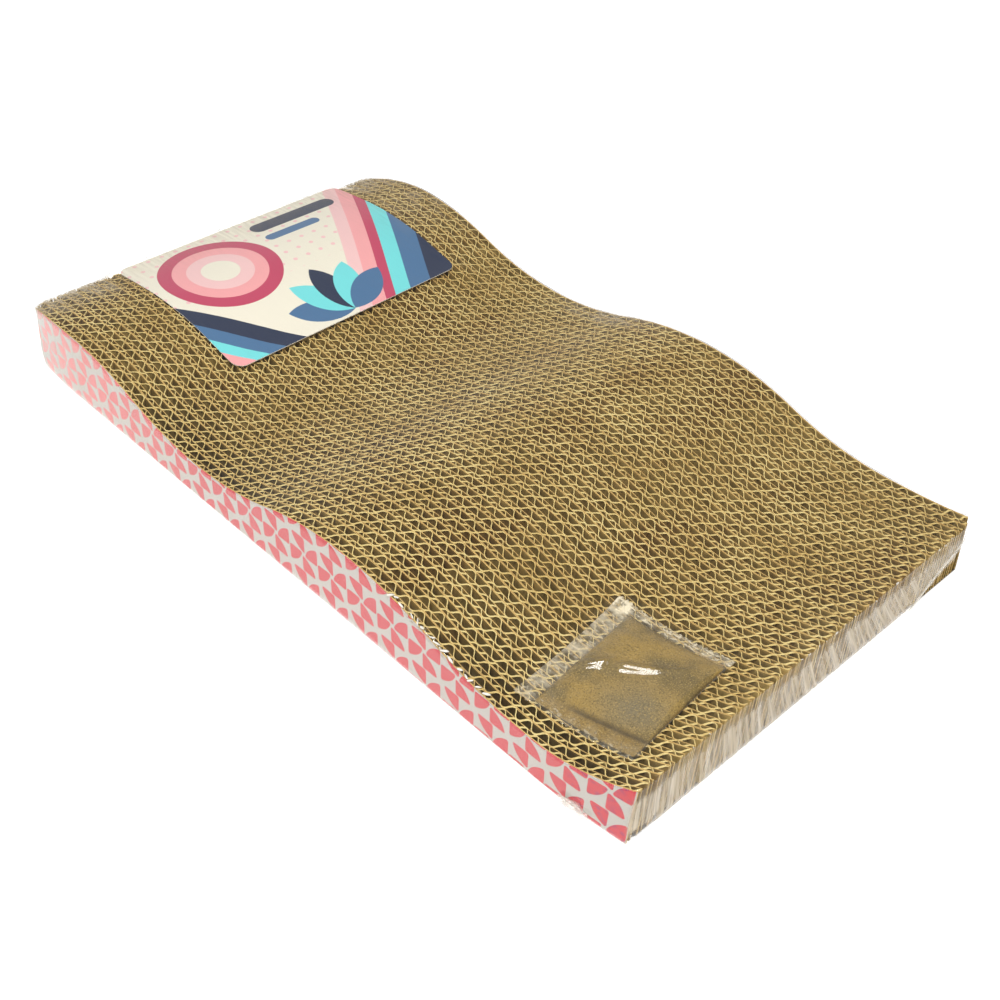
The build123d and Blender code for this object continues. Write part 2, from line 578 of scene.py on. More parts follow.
@dataclass(frozen=True)
class PetalPrint(Finish):
    """White-lined paper printed with pinwheels of four pink segments on a square repeat.

    Each segment has a square corner and two straight legs, a round side that starts beside the hub, and
    rounded corners. Towards the left end the pink turns paler, which is painted light, and the ink is worn
    there; it is a little stained at the right.
    """

    name: str = "petal_print"
    paper: str = "c2bdb4"
    pink: str = "cd2932"
    faded: str = "cf3d46"
    # A paler pink: painted light towards the left end.
    lit_pink: str = "ea7c7a"
    stain: str = "a83058"
    repeat: float = 20.65
    hub_x: float = 23.5
    hub_z: float = 19.3
    lean: float = 0.01
    tilt: float = 0.011
    corner_out: float = 10.15
    corner_down: float = 1.02
    leg: float = 9.2
    bulge: float = 1.9
    corner_round: float = 1.3
    soft_edge: float = 0.25
    cloud_size: Triple = (14.0, 14.0, 14.0)
    faded_range: Pair = (0.35, 0.7)
    lit_pink_x: Pair = (-60.0, -185.0)
    scuff_size: Triple = (6.0, 6.0, 4.0)
    scuff_range: Pair = (0.42, 0.6)
    worn_x: Pair = (-130.0, -220.0)
    worn_share: float = 0.45
    blot_size: Triple = (3.0, 3.0, 1.3)
    blot_range: Pair = (0.53, 0.6)
    stained_x: Pair = (184.0, 198.0)
    stained_share: float = 0.9
    grain_size: Triple = (0.5, 0.5, 0.5)
    grain_depth: float = 0.02
    roughness: float = 0.55

    def segment(self, graph: Graph, along: Signal, across: Signal) -> Signal:
        """Signed distance from one segment: how far a place lies past its two legs and its round side.

        Args:
            graph: the material being written.
            along: way from the hub along the segment's leg.
            across: way from the hub across it.

        Returns:
            The distance, below zero inside the segment.
        """
        radius = (self.leg**2 / 2.0 + self.bulge**2) / (2.0 * self.bulge)
        back = (radius - self.bulge) / math.sqrt(2.0)
        centre_along = self.corner_out - self.leg / 2.0 + back
        centre_across = self.leg / 2.0 - self.corner_down - back
        from_centre = graph.length(along - centre_along, across - centre_across)
        sides = (along - self.corner_out, -across - self.corner_down, from_centre - radius)
        past = [(side + self.corner_round).most(0.0) for side in sides]
        return graph.length(*past) - self.corner_round

    def pinwheels(self, graph: Graph, x: Signal, z: Signal) -> Signal:
        """Where the print has ink: a segment and its three quarter turns about each hub of the repeat.

        Args:
            graph: the material being written.
            x: place along the strips.
            z: height above the table.

        Returns:
            1 on the ink and 0 on the paper.
        """
        up = z - x * self.tilt - self.hub_z
        u = (x + up * self.lean - self.hub_x).folded(self.repeat)
        w = up.folded(self.repeat)
        turns = [(u, w), (w, -u), (-u, -w), (-w, u)]
        segments = [self.segment(graph, along, across) for along, across in turns]
        return segments[0].least(segments[1]).least(segments[2].least(segments[3])).inside(self.soft_edge)

    def shader(self, graph: Graph) -> bpy.types.Node:
        """Pink ink on grainy paper, each effect coming in over its own stretch along X.

        Args:
            graph: the material being written.

        Returns:
            The surface shader.
        """
        x, _, z = graph.place()
        ink = self.pinwheels(graph, x, z)
        scuffed = graph.ramp(graph.noise(self.scuff_size, offset=6.0), *self.scuff_range)
        worn = scuffed * graph.ramp(x, *self.worn_x, 0.0, self.worn_share)
        blotted = graph.ramp(graph.noise(self.blot_size, detail=2.0, offset=12.0), *self.blot_range)
        stained = blotted * graph.ramp(x, *self.stained_x, 0.0, self.stained_share)
        faded = graph.ramp(graph.noise(self.cloud_size), *self.faded_range)
        pink = graph.mix(faded, paint(self.pink), paint(self.faded))
        # The paler pink towards the left end is painted light.
        pink = graph.mix(graph.ramp(x, *self.lit_pink_x), pink, paint(self.lit_pink))
        pink = graph.mix(stained, pink, paint(self.stain))
        grain = graph.noise(self.grain_size, detail=1.0, offset=5.0)
        return graph.principled(
            {
                "Base Color": graph.mix(ink - ink * worn, paint(self.paper), pink),
                "Roughness": self.roughness,
                "Normal": graph.bump(grain, self.grain_depth),
            }
        )


class CardInk(Enum):
    """Inks of the label card."""

    CREAM = "faf3de"
    NAVY = "2d3750"
    STEEL = "5078a0"
    TURQUOISE = "7ce6e6"
    PINK = "ffb0b0"
    BLUSH = "ffd0cd"
    CRIMSON = "cc4a69"


Inked = tuple[float, CardInk]


@dataclass(frozen=True)
class CardPrint(Finish):
    """A generic card print of rings, bands, leaves and dots.

    Places on it are millimetres from its lower left corner. Right is +Y on the pad, and up is -X. Bands,
    rings and leaves are listed from the lowest to the topmost, by edge, radius or angle, each with its ink.
    """

    left_y: float
    foot_x: float
    name: str = "card_print"
    dot_step: float = 9.0
    dot_radius: float = 1.3
    dots_from: float = 46.0
    band_slope: float = 0.55
    bands: tuple[Inked, ...] = (
        (84.0, CardInk.BLUSH),
        (93.0, CardInk.PINK),
        (103.0, CardInk.CRIMSON),
        (110.0, CardInk.TURQUOISE),
        (121.0, CardInk.STEEL),
        (136.0, CardInk.NAVY),
    )
    corner_slope: float = 0.85
    corner_bands: tuple[Inked, ...] = (
        (46.0, CardInk.NAVY),
        (32.0, CardInk.STEEL),
        (21.0, CardInk.TURQUOISE),
        (12.0, CardInk.PINK),
    )
    ring_at: Pair = (41.0, 70.0)
    rings: tuple[Inked, ...] = (
        (35.0, CardInk.CRIMSON),
        (27.0, CardInk.PINK),
        (19.0, CardInk.BLUSH),
        (11.0, CardInk.CREAM),
    )
    leaf_root: Pair = (84.0, 4.0)
    leaf_length: float = 38.0
    leaf_round: float = 26.0
    leaves: tuple[Inked, ...] = (
        (2.75, CardInk.STEEL),
        (2.2, CardInk.TURQUOISE),
        (1.65, CardInk.NAVY),
        (1.1, CardInk.TURQUOISE),
        (0.55, CardInk.STEEL),
    )
    bars: tuple[tuple[Pair, Pair, CardInk], ...] = (
        ((112.0, 98.0), (60.0, 11.0), CardInk.NAVY),
        ((101.0, 83.0), (38.0, 7.0), CardInk.STEEL),
    )
    soft_edge: float = 0.3
    ink_share: float = 0.96
    grain_size: Triple = (0.6, 0.6, 0.6)
    grain_depth: float = 0.01
    roughness: float = 0.38
    coat: float = 0.3
    coat_roughness: float = 0.15

    def disc(self, u: Signal, v: Signal, centre: Pair, radius: float) -> Signal:
        """Signed distance from a disc."""
        return u.graph.length(u - centre[0], v - centre[1]) - radius

    def leaf(self, u: Signal, v: Signal, angle: float) -> Signal:
        """Signed distance from a pointed leaf: where two discs overlap.

        Args:
            u: place to the right.
            v: place upwards.
            angle: the way that the leaf points from the root, in radians.

        Returns:
            The distance, below zero inside the leaf.
        """
        along = (math.cos(angle), math.sin(angle))
        half = self.leaf_length / 2.0
        offset = math.sqrt(self.leaf_round**2 - half**2)
        middle = (self.leaf_root[0] + along[0] * half, self.leaf_root[1] + along[1] * half)
        left = (middle[0] - along[1] * offset, middle[1] + along[0] * offset)
        right = (middle[0] + along[1] * offset, middle[1] - along[0] * offset)
        return self.disc(u, v, right, self.leaf_round).most(self.disc(u, v, left, self.leaf_round))

    def bar(self, u: Signal, v: Signal, centre: Pair, size: Pair) -> Signal:
        """Signed distance from a level bar with round ends: the distance from its middle line, less a radius.

        Args:
            u: place to the right.
            v: place upwards.
            centre: middle of the bar.
            size: its length and height.

        Returns:
            The distance, below zero inside the bar.
        """
        radius = size[1] / 2.0
        past_line = ((u - centre[0]).size() - (size[0] / 2.0 - radius)).most(0.0)
        return u.graph.length(past_line, v - centre[1]) - radius

    def layers(self, u: Signal, v: Signal) -> list[tuple[Signal, CardInk]]:
        """The printed shapes from the lowest to the topmost.

        Args:
            u: place to the right.
            v: place upwards.

        Returns:
            The signed distance from each shape, with its ink.
        """
        dots = u.graph.length(u.folded(self.dot_step), v.folded(self.dot_step)) - self.dot_radius
        slant = u - v * self.band_slope
        corner = u + v * self.corner_slope
        made = [(dots.most(-v + self.dots_from), CardInk.BLUSH)]
        made += [(-slant + edge, ink) for edge, ink in self.bands]
        made += [(corner - edge, ink) for edge, ink in self.corner_bands]
        made += [(self.disc(u, v, self.ring_at, radius), ink) for radius, ink in self.rings]
        made += [(self.leaf(u, v, angle), ink) for angle, ink in self.leaves]
        made += [(self.bar(u, v, centre, size), ink) for centre, size, ink in self.bars]
        return made

    def shader(self, graph: Graph) -> bpy.types.Node:
        """Coated card with the layers laid over each other.

        Args:
            graph: the material being written.

        Returns:
            The surface shader.
        """
        x, y, _ = graph.place()
        colour: object = paint(CardInk.CREAM.value, self.ink_share)
        for shape, ink in self.layers(y - self.left_y, -x + self.foot_x):
            colour = graph.mix(shape.inside(self.soft_edge), colour, paint(ink.value, self.ink_share))
        grain = graph.noise(self.grain_size, detail=1.0)
        return graph.principled(
            {
                "Base Color": colour,
                "Roughness": self.roughness,
                "Normal": graph.bump(grain, self.grain_depth),
                "Coat Weight": self.coat,
                "Coat Roughness": self.coat_roughness,
            }
        )


@dataclass(frozen=True)
class DriedHerb(Finish):
    """Ground dried leaves: olive brown with dark and straw-coloured flecks.

    The piece carries three numbers: one says where a painted grey reflection lies on the herb, one where the
    near end is folded up, and one where painted shade darkens the fold.
    """

    name: str = "dried_herb"
    leaf: str = "a4853e"
    shade: str = "756234"
    dark: str = "463a1e"
    straw: str = "b89c5c"
    # Grey of a painted reflection on the herb.
    grey_sheen: str = "7a7056"
    flap: str = "8c7036"
    # Painted shade in the fold.
    fold_shade: str = "3c2f16"
    patch_size: Triple = (16.0, 16.0, 16.0)
    patch_range: Pair = (0.35, 0.65)
    crumb_size: Triple = (0.8, 0.8, 0.8)
    crumb_range: Pair = (0.52, 0.68)
    crumb_depth: float = 0.5
    fleck_size: Triple = (0.6, 0.6, 0.6)
    fleck_range: Pair = (0.54, 0.68)
    grey_sheen_share: float = 0.85
    flap_share: float = 0.8
    dark_share: float = 0.6
    straw_share: float = 0.7
    fold_shade_share: float = 0.8
    roughness: float = 0.9

    def shader(self, graph: Graph) -> bpy.types.Node:
        """Patches of two tones, then painted grey reflection, flap, dark crumbs, straw flecks and painted
        fold shade.

        Args:
            graph: the material being written.

        Returns:
            The surface shader.
        """
        patch = graph.noise(self.patch_size, detail=2.0)
        crumb = graph.noise(self.crumb_size, detail=2.0, offset=2.0)
        fleck = graph.noise(self.fleck_size, detail=1.0, offset=9.0)
        colour = graph.mix(graph.ramp(patch, *self.patch_range), paint(self.shade), paint(self.leaf))
        # The grey mix is a painted reflection, and the last mix is painted shade in the fold.
        over = [
            (graph.attribute("grey_sheen") * self.grey_sheen_share, self.grey_sheen),
            (graph.attribute("flap") * self.flap_share, self.flap),
            (graph.ramp(crumb, *self.crumb_range, 0.0, self.dark_share), self.dark),
            (graph.ramp(fleck, *self.fleck_range, 0.0, self.straw_share), self.straw),
            (graph.attribute("fold_shade") * self.fold_shade_share, self.fold_shade),
        ]
        for share, code in over:
            colour = graph.mix(share, colour, paint(code))
        normal = graph.bump(crumb, self.crumb_depth)
        return graph.principled({"Base Color": colour, "Roughness": self.roughness, "Normal": normal})


@dataclass(frozen=True)
class ClearFilm(Finish):
    """Thin clear film: it lets light through, mirrors more at a glance and scatters white where creased.

    The piece carries numbers for each point: one says how white the film is there, partly its own
    milkiness and partly painted reflection; glint says where white flecks paint small glints, and open
    whether there is a hole in it.
    """

    name: str
    veil: str = "ddcdb0"
    gloss: float = 0.1
    index: float = 1.4
    crease: float = 0.12
    crease_size: Triple = (9.0, 9.0, 9.0)
    streak: Triple = (14.0, 2.2, 50.0)
    streak_range: Pair = (0.35, 0.68)
    contrast: float = 0.7
    lean: float = 0.0
    lean_from: Pair = (-120.0, 15.0)
    # Size and range of the white flecks that paint glints.
    glint_fleck_size: Triple = (2.6, 1.3, 1.6)
    glint_fleck_range: Pair = (0.56, 0.66)
    veil_roughness: float = 0.35

    def leaning(self, graph: Graph) -> bpy.types.NodeSocket:
        """Places whose Y is shifted by lean times the way along Y times the way up, both from a start.

        Args:
            graph: the material being written.

        Returns:
            The shifted object coordinates.
        """
        x, y, z = graph.place()
        slanted = y + (y - self.lean_from[0]) * (z - self.lean_from[1]) * self.lean
        return graph.node("ShaderNodeCombineXYZ", {0: x * MM, 1: slanted * MM, 2: z * MM}).outputs[0]

    def shader(self, graph: Graph) -> bpy.types.Node:
        """A clear sheet mixed with a mirror by its angle, and with white by its milkiness, painted reflection
        and painted glints.

        Args:
            graph: the material being written.

        Returns:
            The surface shader.
        """
        uneven = graph.noise(self.streak, detail=2.0, place=self.leaning(graph))
        streak = graph.ramp(uneven, *self.streak_range, 1.0 - self.contrast, 1.0 + self.contrast)
        # White flecks where the film carries glints: painted glints.
        folds = graph.ramp(graph.noise(self.glint_fleck_size, detail=1.0, offset=8.0), *self.glint_fleck_range)
        bright = graph.attribute("glint") * folds
        left = -graph.attribute("open") + 1.0
        haze_and_sheen = graph.math("ADD", graph.attribute("haze_and_sheen") * streak, bright, clamp=True) * left
        normal = graph.bump(graph.noise(self.crease_size, detail=2.0, offset=4.0), self.crease)
        glance = graph.node("ShaderNodeFresnel", {"IOR": self.index, "Normal": normal})
        mirror = Signal(graph, glance.outputs[0])
        inner = Signal(graph, graph.node("ShaderNodeNewGeometry").outputs["Backfacing"])
        mirror = (mirror - mirror * inner) * left
        clear = graph.node("ShaderNodeBsdfTransparent")
        shine = graph.node("ShaderNodeBsdfGlossy", {"Roughness": self.gloss, "Normal": normal})
        veil = {"Base Color": paint(self.veil), "Roughness": self.veil_roughness, "Normal": normal}
        white = graph.principled(veil)
        sheet = graph.node("ShaderNodeMixShader", {0: mirror, 1: clear.outputs[0], 2: shine.outputs[0]})
        return graph.node("ShaderNodeMixShader", {0: haze_and_sheen, 1: sheet.outputs[0], 2: white.outputs[0]})


@dataclass(frozen=True)
class PaleFloor(Finish):
    """A plain pale floor that looks white to the camera, but not in the shade right under the pad."""

    half_length: float
    half_width: float
    name: str = "pale_floor"
    colour: str = "f3f2ef"
    shade: str = "5a4824"
    white: str = "ffffff"
    lift: float = 0.65
    bevel: float = 5.0
    bevel_slope: float = 0.5
    blur: float = 0.4
    roughness: float = 0.9

    def shader(self, graph: Graph) -> bpy.types.Node:
        """Pale past a rectangle with bevelled corners under the pad, and dark inside it.

        Args:
            graph: the material being written.

        Returns:
            The surface shader.
        """
        x, y, _ = graph.place()
        past_end, past_side = x.size() - self.half_length, y.size() - self.half_width
        past_corner = past_end + (past_side + self.bevel) * self.bevel_slope
        clear = graph.ramp(past_end.most(past_side).most(past_corner), -self.blur, self.blur)
        return graph.principled(
            {
                "Base Color": graph.mix(clear, paint(self.shade), paint(self.colour)),
                "Roughness": self.roughness,
                "Emission Color": paint(self.white),
                "Emission Strength": graph.seen() * clear * self.lift,
            }
        )


# The pad

@dataclass(frozen=True)
class Wave:
    """The wave cut along the top of every strip: arcs of one radius, joined tangent half way up."""

    crest: float
    valley: float = 20.8
    length: float = 228.0
    crest_x: float = 53.0

    def height(self, x: Array) -> Array:
        """Height above the table at x.

        Over each half wave the arc is middle + swing - radius + sqrt(radius^2 - away^2), turned over for the
        valleys, where away is the distance from the nearest crest or valley.

        Args:
            x: places along the strips.

        Returns:
            Heights, shaped as x.
        """
        swing = (self.crest - self.valley) / 2.0
        radius = ((self.length / 4.0) ** 2 + swing**2) / (2.0 * swing)
        half_waves = np.round((x - self.crest_x) / (self.length / 2.0))
        away = x - self.crest_x - half_waves * self.length / 2.0
        rise = swing - radius + np.sqrt(radius**2 - away**2)
        return (self.crest + self.valley) / 2.0 + np.where(half_waves % 2 == 0, rise, -rise)


@dataclass(frozen=True)
class Pad:
    """The size of the pad, and how the tight film draws its four corners in.

    near_left, far_left, near_right and far_right say how far each corner is drawn in at its top.
    """

    half_length: float
    half_width: float
    wave: Wave
    reach: float = 48.0
    near_left: float = 4.0
    far_left: float = 6.5
    near_right: float = 6.2
    far_right: float = 5.9
    foot_share: float = 0.5
    most_in: float = 1.1
    corner_reach: float = 9.0
    corner_round: float = 3.2
    toe_reach: float = 9.0
    toe_round: float = 3.0

    def depth(self, points: Array) -> Array:
        """How far points lie below the cut of the wave, which goes on level past the ends."""
        inner_x = np.clip(points[..., 0], -self.half_length, self.half_length)
        return self.wave.height(inner_x) - points[..., 2]

    def settle(self, points: Array) -> Array:
        """Move points of the straight pad to where the film draws them.

        Towards each end the pad narrows with the square of the way into the last stretch, in full at the top
        and by foot_share at the table. Its corners are rounded, but for the near right one, and so is the toe
        of the near left one.

        Args:
            points: places on the straight pad, last axis X, Y, Z.

        Returns:
            Places on the drawn-in pad.
        """
        x, y, z = points[..., 0], points[..., 1], points[..., 2]
        left = np.where(y < 0.0, self.near_left, self.far_left)
        right = np.where(y < 0.0, self.near_right, self.far_right)
        pull = np.where(x < 0.0, left, right)
        into = np.clip((np.abs(x) - self.half_length + self.reach) / self.reach, 0.0, self.most_in) ** 2
        height = np.clip(z / self.wave.height(np.clip(x, -self.half_length, self.half_length)), 0.0, 1.0)
        share = self.foot_share + (1.0 - self.foot_share) * height
        to_side = np.clip((np.abs(y) - self.half_width + self.corner_reach) / self.corner_reach, 0.0, 1.0)
        rounded = self.corner_round * to_side**2 * np.where((x > 0.0) & (y < 0.0), 0.0, 1.0)
        low = 1.0 - np.clip(z / self.toe_reach, 0.0, 1.0)
        rounded += self.toe_round * low**2 * to_side * np.where((x < 0.0) & (y < 0.0), 1.0, 0.0)
        moved = points.copy()
        moved[..., 0] = x - np.sign(x) * rounded * into
        moved[..., 1] = y * (1.0 - pull / self.half_width * into * share)
        return moved


class PaperFace(Enum):
    """Which finish a face of a board paper takes."""

    WALL = 0
    # A paler band at the top of the flute walls: painted light where light reaches into the cells.
    LIT_LIP = 1
    FLUTE_EDGE = 2
    LINER_EDGE = 3


@dataclass(frozen=True)
class Paper:
    """One paper of a board strip: a flat liner, as by default, or a medium folded into flutes.

    steps counts the sections along the strip, and for a medium those along one flute.
    """

    thickness: float
    steps: int
    height: float = 0.0
    pitch: float = 1.0
    flatness: float = 1.0
    lean: float = 0.0
    lit_lip_depth: float = 0.5
    lit_lip: PaperFace = PaperFace.LIT_LIP
    edge: PaperFace = PaperFace.FLUTE_EDGE
    middle: float = 0.0
    swing: float = 0.0


@dataclass
class BoardStrips:
    """All strips of double-wall board, each with three liners and two fluted mediums standing on edge.

    The fields named wander and lengths say how far something strays along a strip, and over what lengths.
    """

    pad: Pad
    count: int = 38
    liner: Paper = Paper(0.38, 121, lit_lip=PaperFace.WALL, edge=PaperFace.LINER_EDGE)
    small: Paper = Paper(0.36, 9, height=1.9, pitch=6.2, flatness=1.1, lean=0.05, lit_lip_depth=1.5)
    big: Paper = Paper(0.42, 12, height=3.6, pitch=9.3, flatness=1.2, lean=0.13, lit_lip_depth=0.6)
    blank_liner: float = 0.3
    tip_room: float = 0.1
    stagger: float = 0.46
    stagger_wander: float = 0.07
    turn_wander: float = 0.3
    turn_lengths: Lengths = (131.0, 57.0, 23.0)
    swing_wander: float = 0.03
    swing_lengths: Lengths = (37.0, 17.0)
    side_wander: float = 0.09
    side_lengths: Lengths = (83.0, 31.0)
    top_drop: float = 0.1
    top_wander: float = 0.12
    top_lengths: Lengths = (61.0, 13.0)
    burr: float = 0.6
    burr_spread: Pair = (0.75, 1.25)
    seed: int = 11

    def papers(self) -> list[Paper]:
        """The papers of one strip, placed across it from its near face.

        Returns:
            Three liners, then the small and the big flute between them.
        """
        first = self.blank_liner / 2.0
        second = self.blank_liner * 1.5 + self.small.height
        third = self.blank_liner * 2.5 + self.small.height + self.big.height
        made = [replace(self.liner, middle=middle) for middle in (first, second, third)]
        for medium, low, high in ((self.small, first, second), (self.big, second, third)):
            swing = (medium.height + self.blank_liner) / 2.0 - self.tip_room
            steps = round(2.0 * self.pad.half_length / medium.pitch * medium.steps)
            made.append(replace(medium, middle=(low + high) / 2.0, swing=swing, steps=steps))
        return made

    def sections(self, paper: Paper, low_y: float, shift: float, rng: np.random.Generator) -> Array:
        """Cross-sections of a paper along a strip, each a loop of six corners.

        Across the strip the paper follows swing * tanh(flatness * cos(turn)) / tanh(flatness), a sine with
        flattened tips whose turn wanders a little, and every flute leans towards -X on the far side, by lean
        for each millimetre across. The paper's two faces lie half a thickness off that line. The blade that
        cut the wave has pushed a ragged burr out of the mediums, always towards +X and -Y, by the square of
        how far a wall faces that way.

        Args:
            paper: the paper.
            low_y: near face of the strip.
            shift: how far the flutes are shifted along the strip, in pitches.
            rng: where the strip's unevenness is drawn from.

        Returns:
            Points of shape (steps, 6, 3).
        """
        end = self.pad.half_length
        x = np.linspace(-end, end, paper.steps)
        start = 2.0 * math.pi * (shift + rng.uniform(-self.stagger_wander, self.stagger_wander))
        turn = 2.0 * math.pi * x / paper.pitch + start + self.turn_wander * wander(x, self.turn_lengths, rng)
        fold = np.tanh(paper.flatness * np.cos(turn)) / math.tanh(paper.flatness)
        across = paper.swing * fold * (1.0 + self.swing_wander * wander(x, self.swing_lengths, rng))
        y = low_y + paper.middle + across + self.side_wander * wander(x, self.side_lengths, rng)
        x = np.clip(x - paper.lean * across, -end, end)
        along = np.stack([np.gradient(x), np.gradient(y)])
        along /= np.linalg.norm(along, axis=0)
        half = paper.thickness / 2.0
        near = np.stack([np.clip(x + along[1] * half, -end, end), y - along[0] * half])
        far = np.stack([np.clip(x - along[1] * half, -end, end), y + along[0] * half])
        top = self.pad.wave.height(x) + self.top_wander * wander(x, self.top_lengths, rng) - self.top_drop
        # From here up to the top, the flute walls take a paler band of painted light.
        foot, lit_lip = np.zeros_like(top), top - paper.lit_lip_depth
        facing = np.clip((along[0] + along[1]) * math.sqrt(0.5), 0.0, 1.0)
        ragged = self.burr * facing**2 * rng.uniform(*self.burr_spread, len(x)) * (paper.swing > 0.0)
        pushed = ragged * math.sqrt(0.5)
        frayed = np.stack([np.clip(near[0] + pushed, -end, end), near[1] - pushed])
        corners = [(*near, foot), (*near, lit_lip), (*frayed, top), (*far, top), (*far, lit_lip), (*far, foot)]
        return np.stack([np.stack(corner, axis=-1) for corner in corners], axis=1)

    def face_finish(self, paper: Paper) -> Array:
        """Finish of each face of a paper: up its near side, over, down and under it, then the two caps."""
        wall, lit_lip, edge = PaperFace.WALL.value, paper.lit_lip.value, paper.edge.value
        return np.append(np.repeat([wall, lit_lip, edge, lit_lip, wall, edge], paper.steps - 1), [edge, edge])

    def build(self, finishes: list[bpy.types.Material]) -> None:
        """Make every strip in the place of its solid.

        Args:
            finishes: one for each kind of face, in the order of PaperFace.
        """
        papers = self.papers()
        finish = np.concatenate([self.face_finish(paper) for paper in papers])
        for number in range(1, self.count + 1):
            node = f"strip_{number:02d}"
            rng = np.random.default_rng(self.seed + number)
            low_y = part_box(node)[0].y / MM
            loops = [self.sections(paper, low_y, self.stagger * number, rng) for paper in papers]
            points, faces = join([loft(self.pad.settle(sections)) for sections in loops])
            seat(put_mesh(f"board_{node}", points, faces, finishes, finish), "kraft_board", node)


@dataclass
class PrintedSides:
    """The two printed facing sheets on the long sides."""

    pad: Pad
    thickness: float = 0.3
    steps: int = 221
    levels: int = 9
    dent: float = 0.12
    dent_slant: float = 1.7
    dent_lengths: Lengths = (47.0, 19.0, 9.0)
    seed: int = 5

    def sheet(self, outward: float, rng: np.random.Generator) -> Array:
        """Cross-sections of one sheet along X: its outer face in levels up to the top, then its inner face.

        The outer face has faint slanted dents that fade to nothing at foot and top by half a sine.

        Args:
            outward: -1 for the near side, 1 for the far side.
            rng: where the dents are drawn from.

        Returns:
            Points of shape (steps, levels + 2, 3).
        """
        x = np.linspace(-self.pad.half_length, self.pad.half_length, self.steps)
        top = self.pad.wave.height(x)
        share = np.linspace(0.0, 1.0, self.levels)
        z = top[:, None] * share[None, :]
        dents = self.dent * wander(x[:, None] + self.dent_slant * z, self.dent_lengths, rng)
        y = outward * (self.pad.half_width + dents * np.sin(math.pi * share)[None, :])
        outer = np.stack([np.broadcast_to(x[:, None], z.shape), y, z], axis=-1)
        inner = outer[:, [-1, 0], :].copy()
        inner[..., 1] = outward * (self.pad.half_width - self.thickness)
        loops = np.concatenate([outer, inner], axis=1)
        return loops if outward < 0.0 else loops[:, ::-1]

    def build(self, printed: bpy.types.Material, edge: bpy.types.Material) -> None:
        """Make both sheets in the place of their solids.

        Args:
            printed: finish of the outer faces.
            edge: finish of all other faces.
        """
        around = self.levels + 2
        rows = np.arange((self.steps - 1) * around).reshape(around, self.steps - 1)
        for node, outward in (("printed_side_near", -1.0), ("printed_side_far", 1.0)):
            rng = np.random.default_rng(self.seed)
            points, faces = loft(self.pad.settle(self.sheet(outward, rng)))
            printed_rows = rows[: self.levels - 1] if outward < 0.0 else rows[2 : self.levels + 1]
            finish = np.full(len(faces), 1)
            finish[printed_rows.ravel()] = 0
            piece = put_mesh(f"{node}_sheet", points, faces, [printed, edge], finish)
            seat(piece, "printed_paper", node)


@dataclass
class GlueBeads:
    """Thin bands of glue between neighbouring strips."""

    pad: Pad
    count: int = 37
    steps: int = 45
    thickness: float = 0.1

    def build(self, glue: bpy.types.Material) -> None:
        """Make all bands as one piece in the place of their solids: a rectangle carried along X for each.

        Args:
            glue: finish of the glue.
        """
        low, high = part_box("glue_lines")
        x = np.linspace(low.x, high.x, self.steps) / MM
        step = ((high.y - low.y) / MM - self.thickness) / (self.count - 1)
        bands = []
        for number in range(self.count):
            near = low.y / MM + number * step
            far = near + self.thickness
            corners = [(near, low.z / MM), (near, high.z / MM), (far, high.z / MM), (far, low.z / MM)]
            loops = [np.stack([x, np.full_like(x, y), np.full_like(x, z)], axis=-1) for y, z in corners]
            bands.append(loft(self.pad.settle(np.stack(loops, axis=1))))
        seat(put_mesh("glue_beads", *join(bands), [glue]), "glue", "glue_lines")


# What lies on the pad

